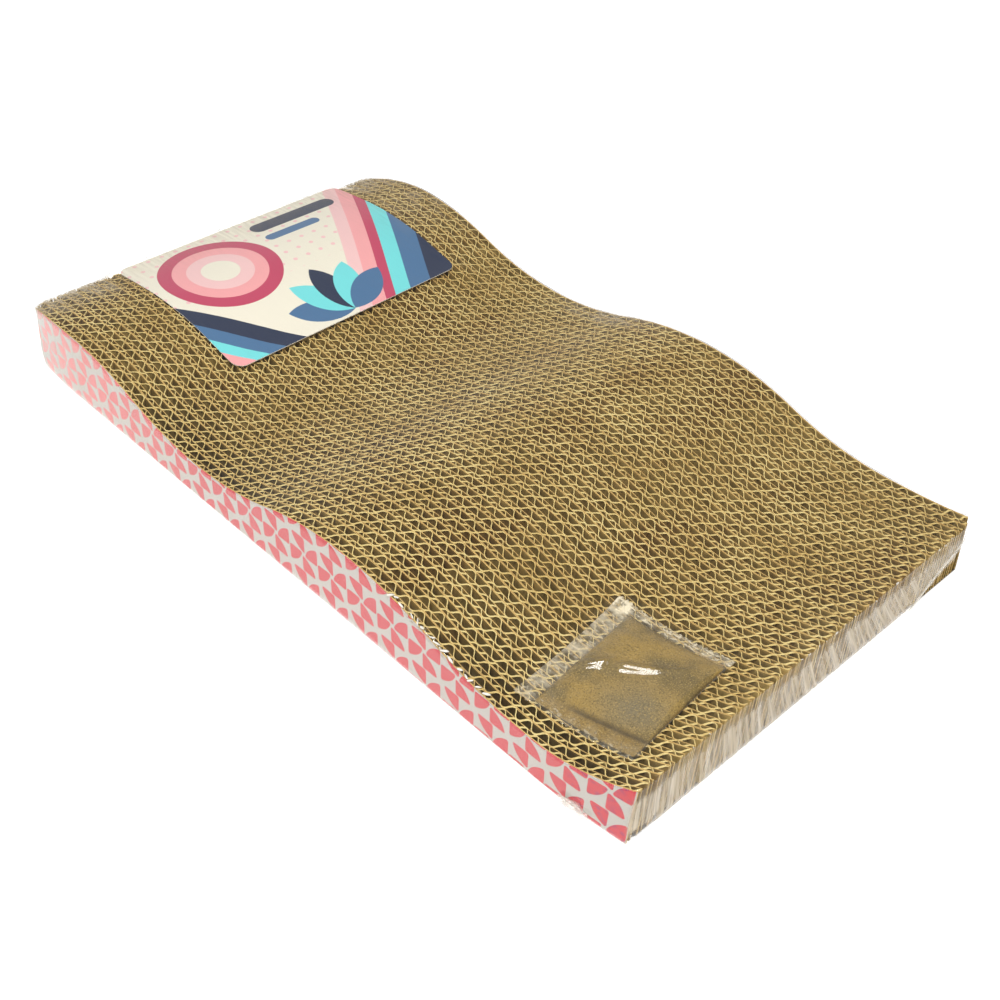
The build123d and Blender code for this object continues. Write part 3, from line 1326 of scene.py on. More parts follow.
@dataclass
class LabelCard:
    """A thin card with round corners, bent over the left hump, its free edges standing a little proud."""

    pad: Pad
    length: float = 112.0
    width: float = 156.0
    corner: float = 6.0
    end_inset: float = 1.8
    middle_y: float = 10.0
    turn: float = math.radians(1.0)
    thickness: float = 0.4
    rings: int = 26
    corner_steps: int = 12
    side_steps: int = 36
    hover: float = 0.15
    end_lift: float = 2.4
    end_reach: float = 34.0
    free_lift: float = 2.0
    free_reach: float = 26.0

    @property
    def middle_x(self) -> float:
        """Middle of the card along the strips."""
        return -self.pad.half_length + self.end_inset + self.length / 2.0

    @property
    def free_x(self) -> float:
        """The card's free edge along the strips."""
        return self.middle_x + self.length / 2.0

    def outline(self) -> Array:
        """The card's edge about its middle: four quarter circles joined by straight sides.

        Returns:
            Points counter-clockwise, of shape (points, 2).
        """
        angles = np.linspace(0.0, math.pi / 2.0, self.corner_steps)
        arc = self.corner * np.stack([np.cos(angles), np.sin(angles)], axis=-1)
        inset = np.array([self.length / 2.0 - self.corner, self.width / 2.0 - self.corner])
        parts = []
        for signs in ((1, 1), (-1, 1), (-1, -1), (1, -1)):
            parts.append(arc + inset * np.array(signs))
            arc = np.stack([-arc[:, 1], arc[:, 0]], axis=-1)
        closed = [*parts, parts[0]]
        share = np.linspace(0.0, 1.0, self.side_steps + 2)[1:-1, None]
        edge = []
        for part, following in zip(closed, closed[1:]):
            edge += [part, part[-1] * (1.0 - share) + following[0] * share]
        return np.concatenate(edge)

    def lift(self, x: Array) -> Array:
        """How far the stiff card stands off the hump: by the square of the way to its two free edges.

        Args:
            x: places along the strips.

        Returns:
            Heights over the hump, shaped as x.
        """
        to_end = np.clip((-self.pad.half_length + self.end_reach - x) / self.end_reach, 0.0, 1.0)
        to_free = np.clip((x - self.free_x + self.free_reach) / self.free_reach, 0.0, 1.0)
        return self.end_lift * to_end**2 + self.free_lift * to_free**2

    def face(self, raised: float) -> Array:
        """Points of one face: the outline drawn towards its middle in rings, laid on the hump.

        Args:
            raised: height of the face over the underside.

        Returns:
            Points of shape (rings, points in the outline, 3), the middle first.
        """
        share = np.linspace(0.0, 1.0, self.rings)[:, None, None]
        flat = share * self.outline()[None]
        cos, sin = math.cos(self.turn), math.sin(self.turn)
        x = self.middle_x + flat[..., 0] * cos - flat[..., 1] * sin
        y = self.middle_y + flat[..., 0] * sin + flat[..., 1] * cos
        z = self.pad.wave.height(x) + self.hover + self.lift(x) + raised
        return np.stack([x, y, z], axis=-1)

    def build(self, plain: bpy.types.Material) -> None:
        """Make the card in the place of its solid, printed on its upper face.

        Args:
            plain: finish of its back and edges.
        """
        printed = CardPrint(left_y=self.middle_y - self.width / 2.0, foot_x=self.free_x).material()
        top, under = self.face(self.thickness), self.face(0.0)
        centres = np.stack([top[0, 0], under[0, 0]])
        top, under = top[1:], under[1:]
        rings, around = top.shape[:2]
        upper = np.arange(rings * around).reshape(rings, around)
        upper = np.concatenate([upper, upper[:, :1]], axis=1)
        lower = upper + rings * around
        middle = 2 * rings * around
        faces = grid_quads(upper, flip=True).tolist() + grid_quads(lower).tolist()
        faces += grid_quads(np.stack([lower[-1], upper[-1]])).tolist()
        faces += [[middle, int(a), int(b)] for a, b in zip(upper[0], upper[0, 1:])]
        faces += [[middle + 1, int(b), int(a)] for a, b in zip(lower[0], lower[0, 1:])]
        points = np.concatenate([top.reshape(-1, 3), under.reshape(-1, 3), centres])
        quads = (rings - 1) * around
        finish = np.repeat([0, 1, 0, 1], [quads, quads + around, around, around])
        piece = put_mesh("label_card_sheet", points, faces, [printed, plain], finish)
        seat(piece, "label_card", "label_card")


@dataclass(frozen=True)
class Ridge:
    """A soft ridge of the sachet along a slanted, swaying line.

    It rises over start and ends over stop, both places across the sachet. Its crest falls by the first number
    of slide, evenly, and by the first number of step, smoothly, each between the two places that follow.
    """

    height: float
    width: float
    foot: float
    slope: float
    start: Pair
    stop: Pair
    sway: float = 0.0
    sway_length: float = 1.0
    slide: Triple = (0.0, 0.0, 1.0)
    step: Triple = (0.0, 0.0, 1.0)

    def over(self, u: Array, v: Array) -> Array:
        """Its crest times a bell across the line foot + slope * u - sway * sin(u / sway_length).

        Args:
            u: places across the sachet from its middle.
            v: places along it.

        Returns:
            Heights, shaped as u.
        """
        drop, begin, end = self.slide
        crest = self.height - drop * np.clip((u - begin) / (end - begin), 0.0, 1.0)
        drop, begin, end = self.step
        crest = crest - drop * smooth_step(begin, end, u)
        line = self.foot + self.slope * u - self.sway * np.sin(u / self.sway_length)
        return crest * bell(v - line, self.width) * smooth_step(*self.start, u) * smooth_step(*self.stop, u)


LONG_RIDGE = Ridge(
    height=2.84,
    width=3.15,
    foot=2.1,
    slope=0.66,
    start=(-7.1, -1.1),
    stop=(24.0, 19.0),
    sway=0.85,
    sway_length=5.28,
    slide=(0.86, -8.0, 10.0),
    step=(0.4, 10.6, 13.0),
)
SHORT_RIDGE = Ridge(height=2.46, width=3.8, foot=6.295, slope=0.85, start=(-23.1, -20.1), stop=(-6.3, -9.3))


@dataclass
class Sachet:
    """The clear pouch with crimped ends and a wide side seal, and the ground herb that fills it.

    Places across it are called u and places along it v, both from its middle. The fields named round are the
    two powers of dome for each side of the fill. Those named white say how white the film is, at the crumpled
    corner partly from the crumple and partly as painted highlight; those named glint say where white flecks
    paint glints.
    """

    pad: Pad
    width: float = 60.5
    length: float = 74.0
    waist: float = 1.2
    turn: float = math.radians(6.0)
    end_inset: float = 46.0
    side_inset: float = 51.0
    side_seal: float = 9.5
    edge_seal: float = 1.5
    far_seal: float = 6.0
    near_seal: float = 2.5
    fill: float = 5.0
    full_depth: float = 2.0
    left_round: Pair = (3.0, 0.8)
    right_round: Pair = (6.0, 0.5)
    near_round: Pair = (1.8, 1.0)
    far_round: Pair = (4.0, 0.7)
    ridges: tuple[Ridge, ...] = (LONG_RIDGE, SHORT_RIDGE)
    fold_v: float = -27.2
    fold_slope: float = 0.075
    fold_width: float = 1.9
    fold_u: Pair = (-16.0, -4.0)
    ripples: Pair = (0.12, 0.1)
    ripple_slants: Pair = (0.6, -0.4)
    ripple_lengths: tuple[Lengths, Lengths] = ((23.0, 13.0), (17.0, 11.0))
    tooth: float = 2.6
    tooth_depth: float = 0.9
    tooth_reach: float = 2.0
    rib: float = 0.1
    rib_pitch: float = 1.9
    crimp_edge: float = 1.5
    corner_inset: Pair = (5.0, 3.0)
    corner_size: float = 4.6
    crumple: Pair = (1.1, 0.9)
    crumple_slant: float = 1.3
    crumple_lengths: Lengths = (5.1, 3.3, 2.4)
    wrinkle: float = 0.25
    wrinkle_slant: float = -0.7
    wrinkle_lengths: Lengths = (9.0, 6.1, 3.7)
    pouch_over: float = 0.55
    pouch_under: float = 0.2
    pouch_dent: float = 0.35
    seal_edge: Pair = (1.0, -2.0)
    white_all: float = 0.02
    white_margin: float = 0.06
    white_seal: float = 0.2
    # White at the crumpled corner: partly the crumple and partly painted highlight.
    white_corner: float = 0.9
    glint_seal: float = 0.2
    glint_crimp: float = 0.25
    glint_corner: float = 0.8
    herb_over: float = 0.35
    herb_under: float = 0.3
    herb_share: float = 0.96
    herb_drop: float = 0.12
    herb_dent: float = 1.3
    # Where the painted grey reflection lies on the herb.
    grey_sheen_at: Pair = (15.0, -15.0)
    grey_sheen_flatness: float = 1.2
    grey_sheen_size: float = 15.0
    grey_sheen_edge: Pair = (-1.0, 3.0)
    flap_edge: Pair = (1.0, -2.0)
    # Painted shade along the fold.
    fold_shade_width: float = 1.4
    fold_shade_u: Pair = (-14.0, -2.0)
    columns: int = 150
    rows: int = 180
    seed: int = 23

    def fill_place(self) -> tuple[float, float, float, float]:
        """Where the fill lies between the seals.

        Returns:
            Its middle and half size across the sachet, then its middle and half size along it.
        """
        middle_u = (self.side_seal - self.edge_seal) / 2.0
        middle_v = (self.near_seal - self.far_seal) / 2.0
        half_u = (self.width - self.side_seal - self.edge_seal) / 2.0
        return middle_u, half_u, middle_v, (self.length - self.far_seal - self.near_seal) / 2.0

    def bulge(self, u: Array, v: Array) -> Array:
        """Height of the fill over the board: a pillow that is full in the middle and thin at its rim.

        Args:
            u: places across the sachet from its middle.
            v: places along it.

        Returns:
            Heights, 0 in the seals.
        """
        middle_u, half_u, middle_v, half_v = self.fill_place()
        across = dome(np.clip((u - middle_u) / half_u, -1.0, 1.0), self.left_round, self.right_round)
        along = dome(np.clip((v - middle_v) / half_v, -1.0, 1.0), self.near_round, self.far_round)
        return self.fill * across * along

    def fold_line(self, u: Array, v: Array) -> Array:
        """Distance past the fold that lies across the near end."""
        return v - self.fold_v - self.fold_slope * u

    def creases(self, u: Array, v: Array, dent: float) -> Array:
        """Soft folds in the sachet: a ridge in two pieces, a dent across the near end and small ripples.

        Args:
            u: places across the sachet from its middle.
            v: places along it.
            dent: depth of the dent.

        Returns:
            Heights to add, shaped as u.
        """
        rng = np.random.default_rng(self.seed)
        made = sum(ridge.over(u, v) for ridge in self.ridges)
        made -= dent * bell(self.fold_line(u, v), self.fold_width) * smooth_step(*self.fold_u, u)
        made += self.ripples[0] * wander(u + self.ripple_slants[0] * v, self.ripple_lengths[0], rng)
        made += self.ripples[1] * wander(v + self.ripple_slants[1] * u, self.ripple_lengths[1], rng)
        return made

    def grid(self, columns: int, rows: int) -> tuple[Array, Array]:
        """Places on the sachet's straight outline.

        Args:
            columns: how many places there are across it.
            rows: how many there are along it.

        Returns:
            Places across and places along the sachet from its middle, each of shape (rows, columns).
        """
        u = np.linspace(-self.width / 2.0, self.width / 2.0, columns)
        v = np.linspace(-self.length / 2.0, self.length / 2.0, rows)
        return np.meshgrid(u, v)

    def lay(self, u: Array, v: Array, over: Array) -> Array:
        """Points on the pad for places on the sachet.

        Args:
            u: places across the sachet from its middle.
            v: places along it.
            over: heights over the board.

        Returns:
            Points, last axis X, Y, Z.
        """
        cos, sin = math.cos(self.turn), math.sin(self.turn)
        x = self.pad.half_length - self.end_inset + u * cos - v * sin
        y = -self.pad.half_width + self.side_inset + u * sin + v * cos
        return np.stack([x, y, self.pad.wave.height(x) + over], axis=-1)

    def filled(self, u: Array, v: Array) -> Array:
        """1 where the sachet is full, and 0 in its seals."""
        return np.clip(self.bulge(u, v) / self.full_depth, 0.0, 1.0)

    def crimped(self, v: Array) -> Array:
        """1 in the crimped ends, and 0 between them."""
        to_end = self.length / 2.0 - np.abs(v)
        return smooth_step(self.far_seal, self.far_seal - self.crimp_edge, to_end)

    def crumpled(self, u: Array, v: Array) -> Array:
        """1 at the crumpled far left corner, falling off as a bell."""
        in_u, in_v = self.corner_inset
        return bell(np.hypot(u + self.width / 2.0 - in_u, v - self.length / 2.0 + in_v), self.corner_size)

    def pouch_height(self, u: Array, v: Array) -> Array:
        """Height of the pouch's upper sheet over the board: the fill with its creases, ribs and wrinkles.

        Args:
            u: places across the sachet from its middle.
            v: places along it.

        Returns:
            Heights, shaped as u.
        """
        rng = np.random.default_rng(self.seed + 1)
        filled = self.filled(u, v)
        ribs = self.rib * np.sin(2.0 * math.pi * u / self.rib_pitch) * self.crimped(v)
        uneven = wander(self.crumple_slant * u + v, self.crumple_lengths, rng)
        crumple = self.crumpled(u, v) * (self.crumple[0] + self.crumple[1] * uneven)
        wrinkles = self.wrinkle * wander(u + self.wrinkle_slant * v, self.wrinkle_lengths, rng)
        margin = np.abs((1.0 - filled) * wrinkles)
        creases = self.creases(u, v, self.pouch_dent) * filled
        return self.pouch_over + self.bulge(u, v) + creases + ribs + margin + crumple

    def build_pouch(self, film: bpy.types.Material) -> None:
        """Make the pouch: two sheets that meet at a drawn-in, saw-toothed border.

        Args:
            film: finish of the pouch.
        """
        u, v = self.grid(self.columns, self.rows)
        teeth = np.abs(2.0 * (u / self.tooth - np.floor(u / self.tooth + 0.5)))
        teeth *= smooth_step(self.tooth_reach, 0.0, self.length / 2.0 - np.abs(v))
        drawn = self.waist * (1.0 - (2.0 * v / self.length) ** 2)
        drawn_u = u - np.sign(u) * drawn * np.abs(2.0 * u / self.width) ** 3
        toothed_v = v - np.sign(v) * self.tooth_depth * teeth
        top = self.lay(drawn_u, toothed_v, self.pouch_height(u, v))
        bottom = self.lay(drawn_u, toothed_v, np.full_like(u, self.pouch_under))
        points, quads = pillow(top, bottom)
        piece = put_mesh("catnip_pouch_film", points, quads, [film], smooth=True)
        past_seal, past_fill = (self.side_seal + edge for edge in self.seal_edge)
        seal = smooth_step(past_seal, past_fill, u + self.width / 2.0)
        crimp, corner = self.crimped(v), self.crumpled(u, v)
        far = crimp * (v > 0.0)
        haze_and_sheen = self.white_all + self.white_margin * (1.0 - self.filled(u, v))
        haze_and_sheen += self.white_seal * (seal + far) + self.white_corner * corner
        # Painted glints: white flecks on the side seal, the crimps and the crumpled corner.
        glint = self.glint_seal * seal + self.glint_crimp * (far + crimp) + self.glint_corner * corner
        under = len(points) - u.size
        add_attribute(piece, "haze_and_sheen", np.append(haze_and_sheen, np.full(under, self.white_all)))
        add_attribute(piece, "glint", np.append(glint, np.zeros(under)))
        seat(piece, "clear_film", "catnip_pouch")

    def build_herb(self, herb: bpy.types.Material) -> None:
        """Make the herb: a lumpy pillow just inside the pouch.

        Args:
            herb: finish of the herb.
        """
        u, v = self.grid(self.columns // 2, self.rows // 2)
        middle_u, half_u, middle_v, half_v = self.fill_place()
        u, v = middle_u + u * 2.0 * half_u / self.width, middle_v + v * 2.0 * half_v / self.length
        creases = (self.creases(u, v, self.herb_dent) - self.herb_drop) * self.filled(u, v)
        top = self.lay(u, v, self.herb_over + self.bulge(u, v) * self.herb_share + creases)
        bottom = self.lay(u, v, np.full_like(u, self.herb_under))
        points, quads = pillow(top, bottom)
        piece = put_mesh("catnip_herb_fill", points, quads, [herb], smooth=True)
        past = self.fold_line(u, v)
        away = np.hypot(u - self.grey_sheen_at[0], self.grey_sheen_flatness * (v - self.grey_sheen_at[1]))
        # A painted grey reflection, the folded flap and painted shade in the fold.
        carried = {
            "grey_sheen": bell(away, self.grey_sheen_size) * smooth_step(*self.grey_sheen_edge, past),
            "flap": smooth_step(*self.flap_edge, past),
            "fold_shade": bell(past, self.fold_shade_width) * smooth_step(*self.fold_shade_u, u),
        }
        under = np.zeros(len(points) - u.size)
        for name, values in carried.items():
            add_attribute(piece, name, np.append(values, under))
        seat(piece, "dried_herb", "catnip_herb")


# The film round the pad

@dataclass(frozen=True)
class FilmHazeAndSheen:
    """How white the shrink film is: painted reflection on top and on the near side, frost on the pleated
    ends.

    The fields named white are shares of white. The pairs named x, y, z and below are the places, heights or
    depths between which each share comes in, and those named at are the middle and width of a bell along X.
    bare_y is the middle, half width and fall-off of a bare band.
    """

    pad: Pad
    card: LabelCard
    all_white: float = 0.005
    near_white: float = 0.03
    near_edge: float = 1.5
    near_below: Pair = (0.5, 2.5)
    near_x: Pair = (20.0, -200.0)
    left_white: float = 0.08
    left_x: Pair = (-186.0, -220.0)
    left_below: Pair = (6.0, 0.0)
    past_card: Pair = (3.0, 13.0)
    patch_white: float = 0.2
    patch_x: Pair = (-186.0, -216.0)
    rim_white: float = 0.3
    rim_x: Pair = (-213.0, -220.0)
    far_white: float = 0.12
    far_at: Pair = (-172.0, 30.0)
    far_y: Pair = (60.0, 122.0)
    valley_white: float = 0.28
    valley_at: Pair = (-12.0, 30.0)
    valley_y: Pair = (104.0, 121.0)
    valley_below: Pair = (3.0, 1.0)
    end_white: float = 0.36
    end_past: Pair = (-0.5, 0.3)
    end_below: Pair = (2.0, 7.0)
    corner_white: float = 0.2
    corner_y: Pair = (-84.0, -112.0)
    clear_share: float = 0.6
    clear_y: Pair = (58.0, 92.0)
    bare_y: Triple = (-113.0, 6.0, 3.0)
    bare_z: Pair = (8.0, 5.0)

    def sheen_on_pad(self, x: Array, y: Array, below: Array) -> Array:
        """Painted reflection along the near side, at the left end beside the card, and along the far edge.

        Args:
            x: places along the strips.
            y: places across them.
            below: depths under the wave.

        Returns:
            Shares of white, shaped as x.
        """
        near = smooth_step(-self.pad.half_width + self.near_edge, -self.pad.half_width, y)
        near = near * smooth_step(*self.near_below, below) * smooth_step(*self.near_x, x)
        beside = smooth_step(*self.past_card, np.abs(y - self.card.middle_y) - self.card.width / 2.0)
        patch = self.patch_white * smooth_step(*self.patch_x, x)
        patch = patch + self.rim_white * smooth_step(*self.rim_x, x)
        left = self.left_white * smooth_step(*self.left_x, x) + beside * patch
        far = bell(x - self.far_at[0], self.far_at[1]) * smooth_step(*self.far_y, y)
        valley = bell(x - self.valley_at[0], self.valley_at[1]) * smooth_step(*self.valley_y, y)
        valley = valley * smooth_step(*self.valley_below, below)
        made = self.near_white * near + left * smooth_step(*self.left_below, below)
        return made + self.far_white * far + self.valley_white * valley

    def on_ends(self, x: Array, y: Array, z: Array, below: Array) -> Array:
        """White on the pleated ends, more at the near corners, and less at two places of the right end.

        Args:
            x: places along the strips.
            y: places across them.
            z: heights above the table.
            below: depths under the wave.

        Returns:
            Shares of white, shaped as x.
        """
        end = smooth_step(*self.end_past, np.abs(x) - self.pad.half_length)
        middle, half, fall = self.bare_y
        bare = bell(np.maximum(np.abs(y - middle) - half, 0.0), fall) * smooth_step(*self.bare_z, z)
        clear = self.clear_share * smooth_step(*self.clear_y, y)
        right = x > 0.0
        tight = self.end_white + self.corner_white * smooth_step(*self.corner_y, y)
        tight = tight * end * smooth_step(*self.end_below, below)
        return tight * (1.0 - bare * right) * (1.0 - clear * right)

    def over(self, points: Array) -> Array:
        """White at each point of the film.

        Args:
            points: places, last axis X, Y, Z.

        Returns:
            Shares of white from 0 to 1.
        """
        x, y, z = points[..., 0], points[..., 1], points[..., 2]
        below = self.pad.depth(points)
        # Painted reflection on the pad, and the frosted film on its ends.
        veil = self.all_white + self.sheen_on_pad(x, y, below) + self.on_ends(x, y, z, below)
        return np.clip(veil, 0.0, 1.0)


@dataclass
class ShrinkFilm:
    """The clear film shrunk round the whole pad: a tube along X, welded shut across both ends."""

    pad: Pad
    card: LabelCard
    sachet: Sachet
    gap: float = 0.45
    foot: float = -0.2
    steps: int = 240
    across: int = 125
    up: int = 12
    end_rings: int = 14
    card_gap: float = 0.25
    card_slope: float = 13.0
    sachet_gap: float = 3.2
    sachet_slope: float = 5.0
    weld_height: float = 13.0
    weld_reach: float = 0.02
    pleat_lean: float = 0.004
    pleat_from: Pair = (-120.0, 15.0)
    pleat_lengths: Lengths = (31.0, 17.0, 11.0, 7.3)
    pleat_out: Pair = (0.9, 0.8)
    pleat_edge: float = 0.35
    rim_y: float = 70.5
    rim_slope: float = 0.41
    rim_soft: float = 2.0
    near_glint: float = 0.8
    near_glint_at: Pair = (113.0, 30.0)
    near_glint_reach: Pair = (2.0, 1.6)
    end_glint: float = 0.15
    end_glint_x: float = 219.0
    end_glint_reach: float = 2.2
    seed: int = 31

    def cover(self, x: Array, y: Array) -> Array:
        """Height of the film over the board: it lies on the card and the sachet and slopes down beside them.

        Args:
            x: places along the strips.
            y: places across them.

        Returns:
            Heights, shaped as x.
        """
        card, sachet = self.card, self.sachet
        on_card = smooth_step(self.card_slope, 0.0, np.abs(x - card.middle_x) - card.length / 2.0)
        on_card = on_card * smooth_step(self.card_slope, 0.0, np.abs(y - card.middle_y) - card.width / 2.0)
        dx = x - self.pad.half_length + sachet.end_inset
        dy = y + self.pad.half_width - sachet.side_inset
        cos, sin = math.cos(sachet.turn), math.sin(sachet.turn)
        u, v = dx * cos + dy * sin, dy * cos - dx * sin
        beside = np.maximum(np.abs(u) - sachet.width / 2.0, np.abs(v) - sachet.length / 2.0)
        on_sachet = smooth_step(self.sachet_slope, -self.sachet_slope, beside)
        return np.maximum(
            on_card * (card.thickness + self.card_gap + card.lift(x)),
            on_sachet * (sachet.bulge(u, v) + self.sachet_gap),
        )

    def loop(self, x: float, inward: float) -> Array:
        """One loop of the tube at x: up the near side, over the top, down the far side and back underneath.

        Args:
            x: place along the pad.
            inward: 0 on the tube; towards 1 the loop of an end closes on the weld.

        Returns:
            Points of the loop, shape (points, 3).
        """
        inner_x = np.clip(x, -self.pad.half_length, self.pad.half_length)
        half = self.pad.half_width + self.gap
        y_top = np.linspace(-half, half, self.across)
        inner_y = np.clip(y_top, -self.pad.half_width, self.pad.half_width)
        edge = self.pad.wave.height(np.array(inner_x)) + self.gap
        top = edge + self.cover(np.full_like(y_top, inner_x), inner_y)
        rise = np.linspace(0.0, 1.0, self.up + 1)[:-1]
        fall = rise + 1.0 / self.up
        near = np.stack([np.full(self.up, -half), self.foot + (top[0] - self.foot) * rise], axis=-1)
        over = np.stack([y_top, top], axis=-1)
        far = np.stack([np.full(self.up, half), top[-1] - (top[-1] - self.foot) * fall], axis=-1)
        y_under = y_top[-2:0:-1]
        back = np.stack([y_under, np.full_like(y_under, self.foot)], axis=-1)
        flat = np.concatenate([near, over, far, back])
        flat[:, 1] = self.weld_height * inward + flat[:, 1] * (1.0 - inward)
        return np.concatenate([np.full((len(flat), 1), x), flat], axis=1)

    def end_bulge(self, points: Array, inward: Array) -> Array:
        """How far the end film stands out: pleats across the end that lean towards the far corner.

        Args:
            points: places on the end, last axis X, Y, Z.
            inward: how far each place lies towards the weld.

        Returns:
            Distances along X, shaped as inward.
        """
        rng = np.random.default_rng(self.seed)
        y, z = points[..., 1], points[..., 2]
        lean = y + self.pleat_lean * (y - self.pleat_from[0]) * (z - self.pleat_from[1])
        pleats = wander(lean, self.pleat_lengths, rng)
        return smooth_step(0.0, self.pleat_edge, inward) * (self.pleat_out[0] + self.pleat_out[1] * pleats)

    def rings(self) -> Array:
        """All loops of the film from weld to weld.

        Returns:
            Points of shape (loops, points in a loop, 3).
        """
        length = self.pad.half_length + self.gap
        inward = np.linspace(1.0, 0.0, self.end_rings + 1)[:-1]
        ends = []
        for side in (-1.0, 1.0):
            loops = np.stack([self.loop(side * length, float(share)) for share in inward])
            loops[..., 0] += side * self.end_bulge(loops, np.broadcast_to(inward[:, None], loops.shape[:2]))
            ends.append(loops)
        tube = np.stack([self.loop(float(x), 0.0) for x in np.linspace(-length, length, self.steps)])
        return self.pad.settle(np.concatenate([ends[0], tube, ends[1][::-1]]))

    def opening(self, points: Array) -> Array:
        """Where the film is open: at the far corner of the right end, below a slanted rim.

        Args:
            points: places on the film, last axis X, Y, Z.

        Returns:
            1 in the hole and 0 elsewhere.
        """
        x, y, z = points[..., 0], points[..., 1], points[..., 2]
        under_rim = (y - self.rim_y) * self.rim_slope - z
        return smooth_step(0.0, self.rim_soft, under_rim) * (x > self.pad.half_length)

    def glint(self, points: Array) -> Array:
        """Where white flecks paint glints: by the near top edge, and where the film turns down at the right
        end.

        Args:
            points: places on the film, last axis X, Y, Z.

        Returns:
            Shares from 0 to 1.
        """
        x, y = points[..., 0], points[..., 1]
        below = self.pad.depth(points) + self.gap
        across, down = self.near_glint_reach
        near_edge = bell(y + self.pad.half_width, across) * bell(below, down)
        near_edge = near_edge * bell(x - self.near_glint_at[0], self.near_glint_at[1])
        right_edge = bell(below, self.end_glint_reach) * (x > self.end_glint_x)
        return self.near_glint * near_edge + self.end_glint * right_edge

    def build(self, film: bpy.types.Material) -> None:
        """Make the film as one closed piece, its end loops sewn together along the welds.

        Args:
            film: finish of the film.
        """
        rings = self.rings()
        indices = np.arange(rings.shape[0] * rings.shape[1]).reshape(rings.shape[:2])
        ringed = np.concatenate([indices, indices[:, :1]], axis=1)
        piece = put_mesh("shrink_film", rings.reshape(-1, 3), grid_quads(ringed.T), [film], smooth=True)
        add_attribute(piece, "haze_and_sheen", FilmHazeAndSheen(self.pad, self.card).over(rings))
        add_attribute(piece, "glint", self.glint(rings))
        add_attribute(piece, "open", self.opening(rings))
        sewn = bmesh.new()
        sewn.from_mesh(piece.data)
        bmesh.ops.remove_doubles(sewn, verts=sewn.verts, dist=self.weld_reach * MM)
        sewn.to_mesh(piece.data)
        sewn.free()
        seat(piece, "clear_film")


@dataclass(frozen=True)
class FoldLook:
    """How long, wide and high the folds of one kind are, from the least to the most, and how white."""

    length: Pair
    width: Pair
    height: Pair
    white: float


class FoldKind(Enum):
    """The kinds of small folds in the film."""

    # The white of the near and end folds paints their glints, and that of the knot a reflection.
    NEAR = FoldLook((2.2, 4.8), (0.6, 1.3), (0.7, 1.4), 1.0)
    END = FoldLook((0.9, 2.0), (0.4, 0.8), (0.4, 0.8), 0.5)
    KNOT = FoldLook((4.5, 8.0), (2.0, 4.0), (2.0, 3.2), 0.28)
    PLEAT = FoldLook((9.0, 20.0), (0.4, 0.8), (0.3, 0.7), 0.5)


Fold = tuple[Array, float]


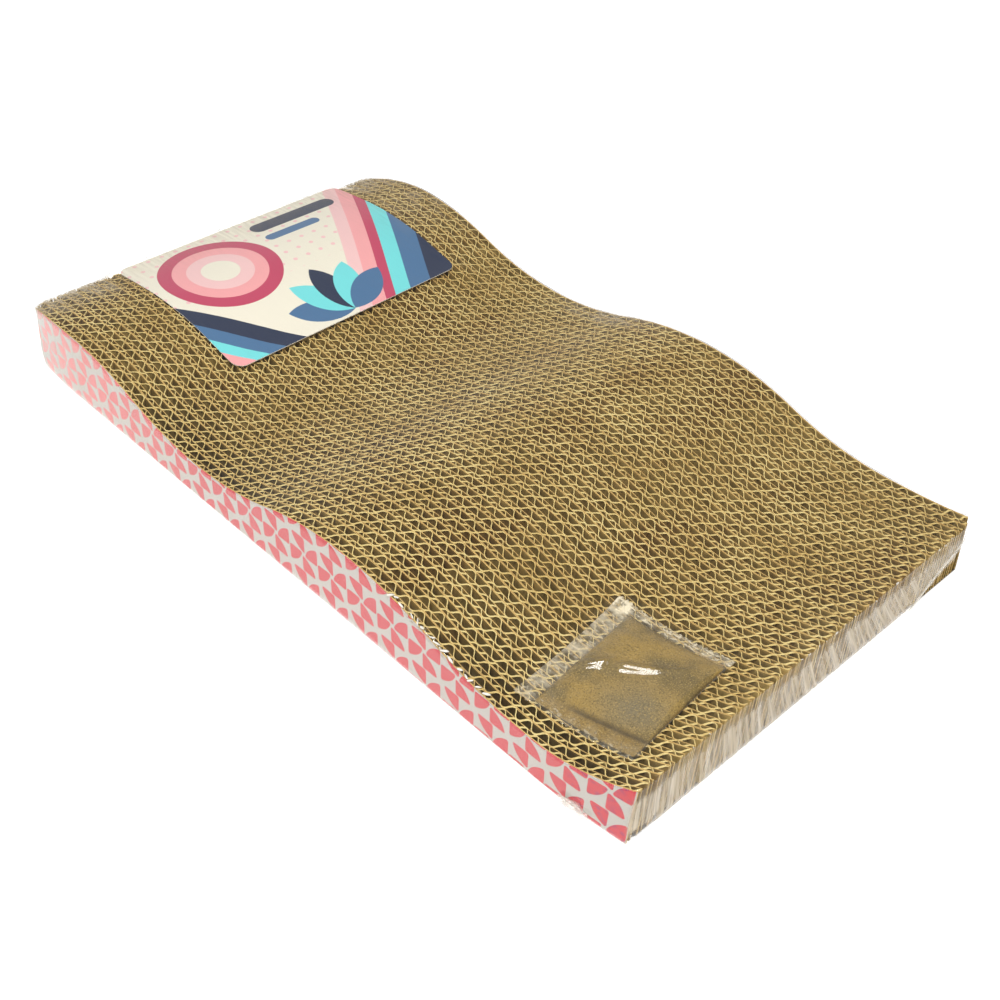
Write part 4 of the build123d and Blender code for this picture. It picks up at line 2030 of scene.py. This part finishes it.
@dataclass
class FilmFolds:
    """Small folds where the shrunk film bunches up.

    They lie on the near top edge and the right end's top edge, in a knot under the near edge, and along the
    rim of the opening. The pairs named over, in, out, dip and tilt are bounds of random draws, and a single
    number named jitter, turn or tilt is the bound to both sides.
    """

    film: ShrinkFilm
    steps: int = 9
    around: int = 8
    tip: float = 0.97
    swell: float = 0.6
    glint: float = 0.3
    near_span: Pair = (84.0, 143.0)
    near_count: int = 15
    near_jitter: float = 1.5
    near_over: Pair = (0.6, 1.0)
    near_in: Pair = (-0.2, 1.4)
    near_turn: float = 0.9
    near_dip: Pair = (-0.5, 0.2)
    end_span: Pair = (-112.0, 112.0)
    end_count: int = 15
    end_over: Pair = (-1.2, 0.5)
    end_out: Pair = (-0.2, 0.6)
    end_turn: float = 0.3
    end_tilt: float = 1.2
    knot_at: Triple = (195.0, -1.6, 2.7)
    knot_count: int = 6
    knot_spread: Triple = (5.5, 1.1, 1.2)
    knot_turn: float = 0.5
    knot_tilt: float = 0.3
    pleat_inset: Pair = (4.0, 5.0)
    pleat_count: int = 11
    pleat_over: Pair = (-0.3, 1.6)
    pleat_out: Pair = (0.8, 2.2)
    pleat_tilt: Pair = (-0.12, 0.2)
    seed: int = 43

    @property
    def pad(self) -> Pad:
        """The pad inside the film."""
        return self.film.pad

    def spindle(
        self, kind: FoldKind, middle: Array, axis: Array, side: Array, rng: np.random.Generator
    ) -> Fold:
        """A fold of random size: an ellipse that swells along the axis as (1 - t^2) to the power swell.

        Args:
            kind: the kind of fold.
            middle: its middle.
            axis: the way it runs.
            side: the way its width lies, square to the axis.
            rng: where its size is drawn from.

        Returns:
            Points of shape (steps, around, 3), and how white the fold is.
        """
        look = kind.value
        length, width, height = (rng.uniform(*span) for span in (look.length, look.width, look.height))
        axis, side = unit(axis), unit(side)
        up = np.cross(axis, side)
        t = np.linspace(-self.tip, self.tip, self.steps)[:, None, None]
        turn = (2.0 * math.pi * np.arange(self.around) / self.around)[None, :, None]
        ring = np.sin(turn) * up * height / 2.0 - np.cos(turn) * side * width / 2.0
        return middle + t * axis * length / 2.0 + (1.0 - t**2) ** self.swell * ring, look.white

    def near_edge(self, rng: np.random.Generator) -> list[Fold]:
        """Crumpled folds along the near top edge.

        Args:
            rng: where they are drawn from.

        Returns:
            The folds.
        """
        made = []
        jitter = rng.uniform(-self.near_jitter, self.near_jitter, self.near_count)
        for x in np.linspace(*self.near_span, self.near_count) + jitter:
            z = float(self.pad.wave.height(np.array(x))) + rng.uniform(*self.near_over)
            middle = np.array([x, -self.pad.half_width + rng.uniform(*self.near_in), z])
            angle = rng.uniform(-self.near_turn, self.near_turn)
            axis = np.array([math.cos(angle), math.sin(angle), rng.uniform(*self.near_dip)])
            made.append(self.spindle(FoldKind.NEAR, middle, axis, np.cross(UP, axis), rng))
        return made

    def end_edge(self, rng: np.random.Generator) -> list[Fold]:
        """Small glints along the top edge of the right end.

        Args:
            rng: where they are drawn from.

        Returns:
            The folds.
        """
        made = []
        edge = float(self.pad.wave.height(np.array(self.pad.half_length)))
        for y in rng.uniform(*self.end_span, self.end_count):
            z = edge + rng.uniform(*self.end_over)
            middle = np.array([self.pad.half_length + rng.uniform(*self.end_out), y, z])
            turn = rng.uniform(-self.end_turn, self.end_turn)
            axis = np.array([turn, 1.0, rng.uniform(-self.end_tilt, self.end_tilt)])
            made.append(self.spindle(FoldKind.END, middle, axis, np.array([-1.0, turn, 0.0]), rng))
        return made

    def knot(self, rng: np.random.Generator) -> list[Fold]:
        """A knot of film that stands out under the near edge.

        Args:
            rng: where its folds are drawn from.

        Returns:
            The folds.
        """
        made = []
        centre = np.array(self.knot_at) - [0.0, self.pad.half_width, 0.0]
        for _ in range(self.knot_count):
            middle = centre + rng.uniform(-1.0, 1.0, 3) * np.array(self.knot_spread)
            turn = rng.uniform(-self.knot_turn, self.knot_turn)
            axis = np.array([1.0, turn, rng.uniform(-self.knot_tilt, self.knot_tilt)])
            made.append(self.spindle(FoldKind.KNOT, middle, axis, np.cross(UP, axis), rng))
        return made

    def pleats(self, rng: np.random.Generator) -> list[Fold]:
        """Long pleats gathered along the rim of the opening at the far corner.

        Args:
            rng: where they are drawn from.

        Returns:
            The folds.
        """
        made = []
        first, last = self.film.rim_y + self.pleat_inset[0], self.pad.half_width - self.pleat_inset[1]
        for y in np.linspace(first, last, self.pleat_count):
            z = (y - self.film.rim_y) * self.film.rim_slope + rng.uniform(*self.pleat_over)
            middle = np.array([self.pad.half_length + rng.uniform(*self.pleat_out), y, z])
            axis = np.array([0.0, 1.0, self.film.rim_slope + rng.uniform(*self.pleat_tilt)])
            made.append(self.spindle(FoldKind.PLEAT, middle, axis, np.array([-1.0, 0.0, 0.0]), rng))
        return made

    def build(self, film: bpy.types.Material) -> None:
        """Make all folds as one piece.

        Args:
            film: finish of the folds.
        """
        rng = np.random.default_rng(self.seed)
        folds = [*self.near_edge(rng), *self.end_edge(rng), *self.knot(rng), *self.pleats(rng)]
        points, faces = join([loft(self.pad.settle(loops)) for loops, _ in folds])
        piece = put_mesh("film_folds", points, faces, [film], smooth=True)
        # Part of the folds' white, and their glints, are painted highlights.
        add_attribute(piece, "haze_and_sheen", np.repeat([white for _, white in folds], self.steps * self.around))
        add_attribute(piece, "glint", np.full(len(points), self.glint))
        seat(piece, "clear_film")


# The studio

@dataclass(frozen=True)
class Lamp:
    """A square soft lamp, with its place and edge in metres and its power in watts."""

    name: str
    place: Triple
    size: float
    power: float

    def build(self) -> None:
        """Put the lamp into the scene, turned towards the pad."""
        data = bpy.data.lights.new(self.name, "AREA")
        data.shape, data.size, data.energy = "SQUARE", self.size, self.power
        lamp = bpy.data.objects.new(self.name, data)
        back = unit(np.array(self.place))
        lamp.matrix_world = stand(unit(np.cross([0.0, 1.0, 0.0], back)), back, np.array(self.place))
        bpy.context.scene.collection.objects.link(lamp)


@dataclass(frozen=True)
class Studio:
    """Pale floor, soft lamps and the camera at the photograph's angle."""

    pad: Pad
    azimuth: float = 44.66
    elevation: float = 39.85
    roll: float = 2.51
    distance: float = 665.9
    focal_pixels: float = 1378.94
    frame_pixels: float = 1000.0
    sensor: float = 36.0
    clip: Pair = (0.01, 50.0)
    target: Triple = (50.79, -26.45, 15.0)
    floor_size: float = 9000.0
    floor_drop: float = 0.5
    shade_inset: float = 4.0
    surround: str = "ffffff"
    fill: float = 0.32
    lamps: tuple[Lamp, ...] = (
        Lamp("overhead", (0.32, -0.42, 1.35), 0.5, 15.5),
        Lamp("front", (-0.9, -1.65, 0.55), 1.0, 8.2),
        Lamp("right", (1.7, 0.1, 0.6), 0.9, 5.6),
        Lamp("far_left", (-2.1, 1.4, 0.7), 1.6, 1.1),
    )

    def add_camera(self) -> None:
        """Put the camera where the photograph was taken from, rolled about the way it looks."""
        azimuth, elevation, roll = np.radians([self.azimuth, self.elevation, self.roll])
        out = np.cos(elevation)
        back = np.array([np.sin(azimuth) * out, -np.cos(azimuth) * out, np.sin(elevation)])
        level = unit(np.cross(UP, back))
        right = np.cos(roll) * level + np.sin(roll) * np.cross(back, level)
        data = bpy.data.cameras.new("camera")
        data.sensor_width = self.sensor
        data.lens = self.focal_pixels / self.frame_pixels * self.sensor
        data.clip_start, data.clip_end = self.clip
        camera = bpy.data.objects.new("camera", data)
        camera.matrix_world = stand(right, back, (np.array(self.target) + back * self.distance) * MM)
        bpy.context.scene.collection.objects.link(camera)
        bpy.context.scene.camera = camera

    def add_world(self) -> None:
        """A plain white surround that fills the shadows."""
        world = bpy.data.worlds.new("surround")
        world.use_nodes = True
        background = world.node_tree.nodes["Background"]
        background.inputs["Color"].default_value = paint(self.surround)
        background.inputs["Strength"].default_value = self.fill
        bpy.context.scene.world = world

    def add_floor(self) -> None:
        """A wide pale floor just under the film."""
        half = self.floor_size / 2.0
        corners = [(-half, -half), (half, -half), (half, half), (-half, half)]
        points = np.array([[x, y, -self.floor_drop] for x, y in corners])
        finish = PaleFloor(self.pad.half_length, self.pad.half_width - self.shade_inset)
        floor = put_mesh("floor", points, [[0, 1, 2, 3]], [finish.material()])

    def build(self) -> None:
        """Set up the view, the floor, the surround, the lamps and the camera."""
        bpy.context.scene.view_settings.view_transform = "Standard"
        self.add_floor()
        self.add_world()
        for lamp in self.lamps:
            lamp.build()
        self.add_camera()


def main() -> None:
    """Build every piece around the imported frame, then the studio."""
    logging.basicConfig(level=logging.INFO, format="%(name)s: %(message)s")
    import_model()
    low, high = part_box("printed_side_near")
    pad = Pad(half_length=high.x / MM, half_width=-low.y / MM, wave=Wave(crest=high.z / MM))
    flute_edge = CutEdge("flute_edge").material()
    liner_edge = CutEdge("liner_edge", pale="d8b46c", deep="b89252").material()
    # The paler top band of the flute walls is painted light.
    lit_lip = CutEdge("flute_lit_lip", pale="dabe7a", deep="ba9852").material()
    glue = Mottled("board_glue", "e4dabd", "cdbf98", cloud_size=(5.0, 5.0, 5.0), roughness=0.45)
    card_back = Mottled("card_back", "efe9dc", "ded6c5", cloud_size=(3.0, 3.0, 3.0), roughness=0.8)
    pouch_film = ClearFilm(
        "pouch_film",
        "f2e4c4",
        index=1.55,
        crease=0.006,
        crease_size=(5.0, 5.0, 5.0),
        streak=(5.0, 5.0, 5.0),
    )
    BoardStrips(pad).build([KraftWall(pad.wave).material(), lit_lip, flute_edge, liner_edge])
    PrintedSides(pad).build(PetalPrint().material(), liner_edge)
    GlueBeads(pad).build(glue.material())
    card = LabelCard(pad)
    card.build(card_back.material())
    sachet = Sachet(pad)
    sachet.build_herb(DriedHerb().material())
    sachet.build_pouch(pouch_film.material())
    film = ShrinkFilm(pad, card, sachet)
    wrap_film = ClearFilm("wrap_film", contrast=0.9, lean=film.pleat_lean, lean_from=film.pleat_from)
    film.build(wrap_film.material())
    FilmFolds(film).build(ClearFilm("folded_film", "f4f0e6", contrast=0.3).material())
    Studio(pad).build()


if __name__ == "__main__":
    main()
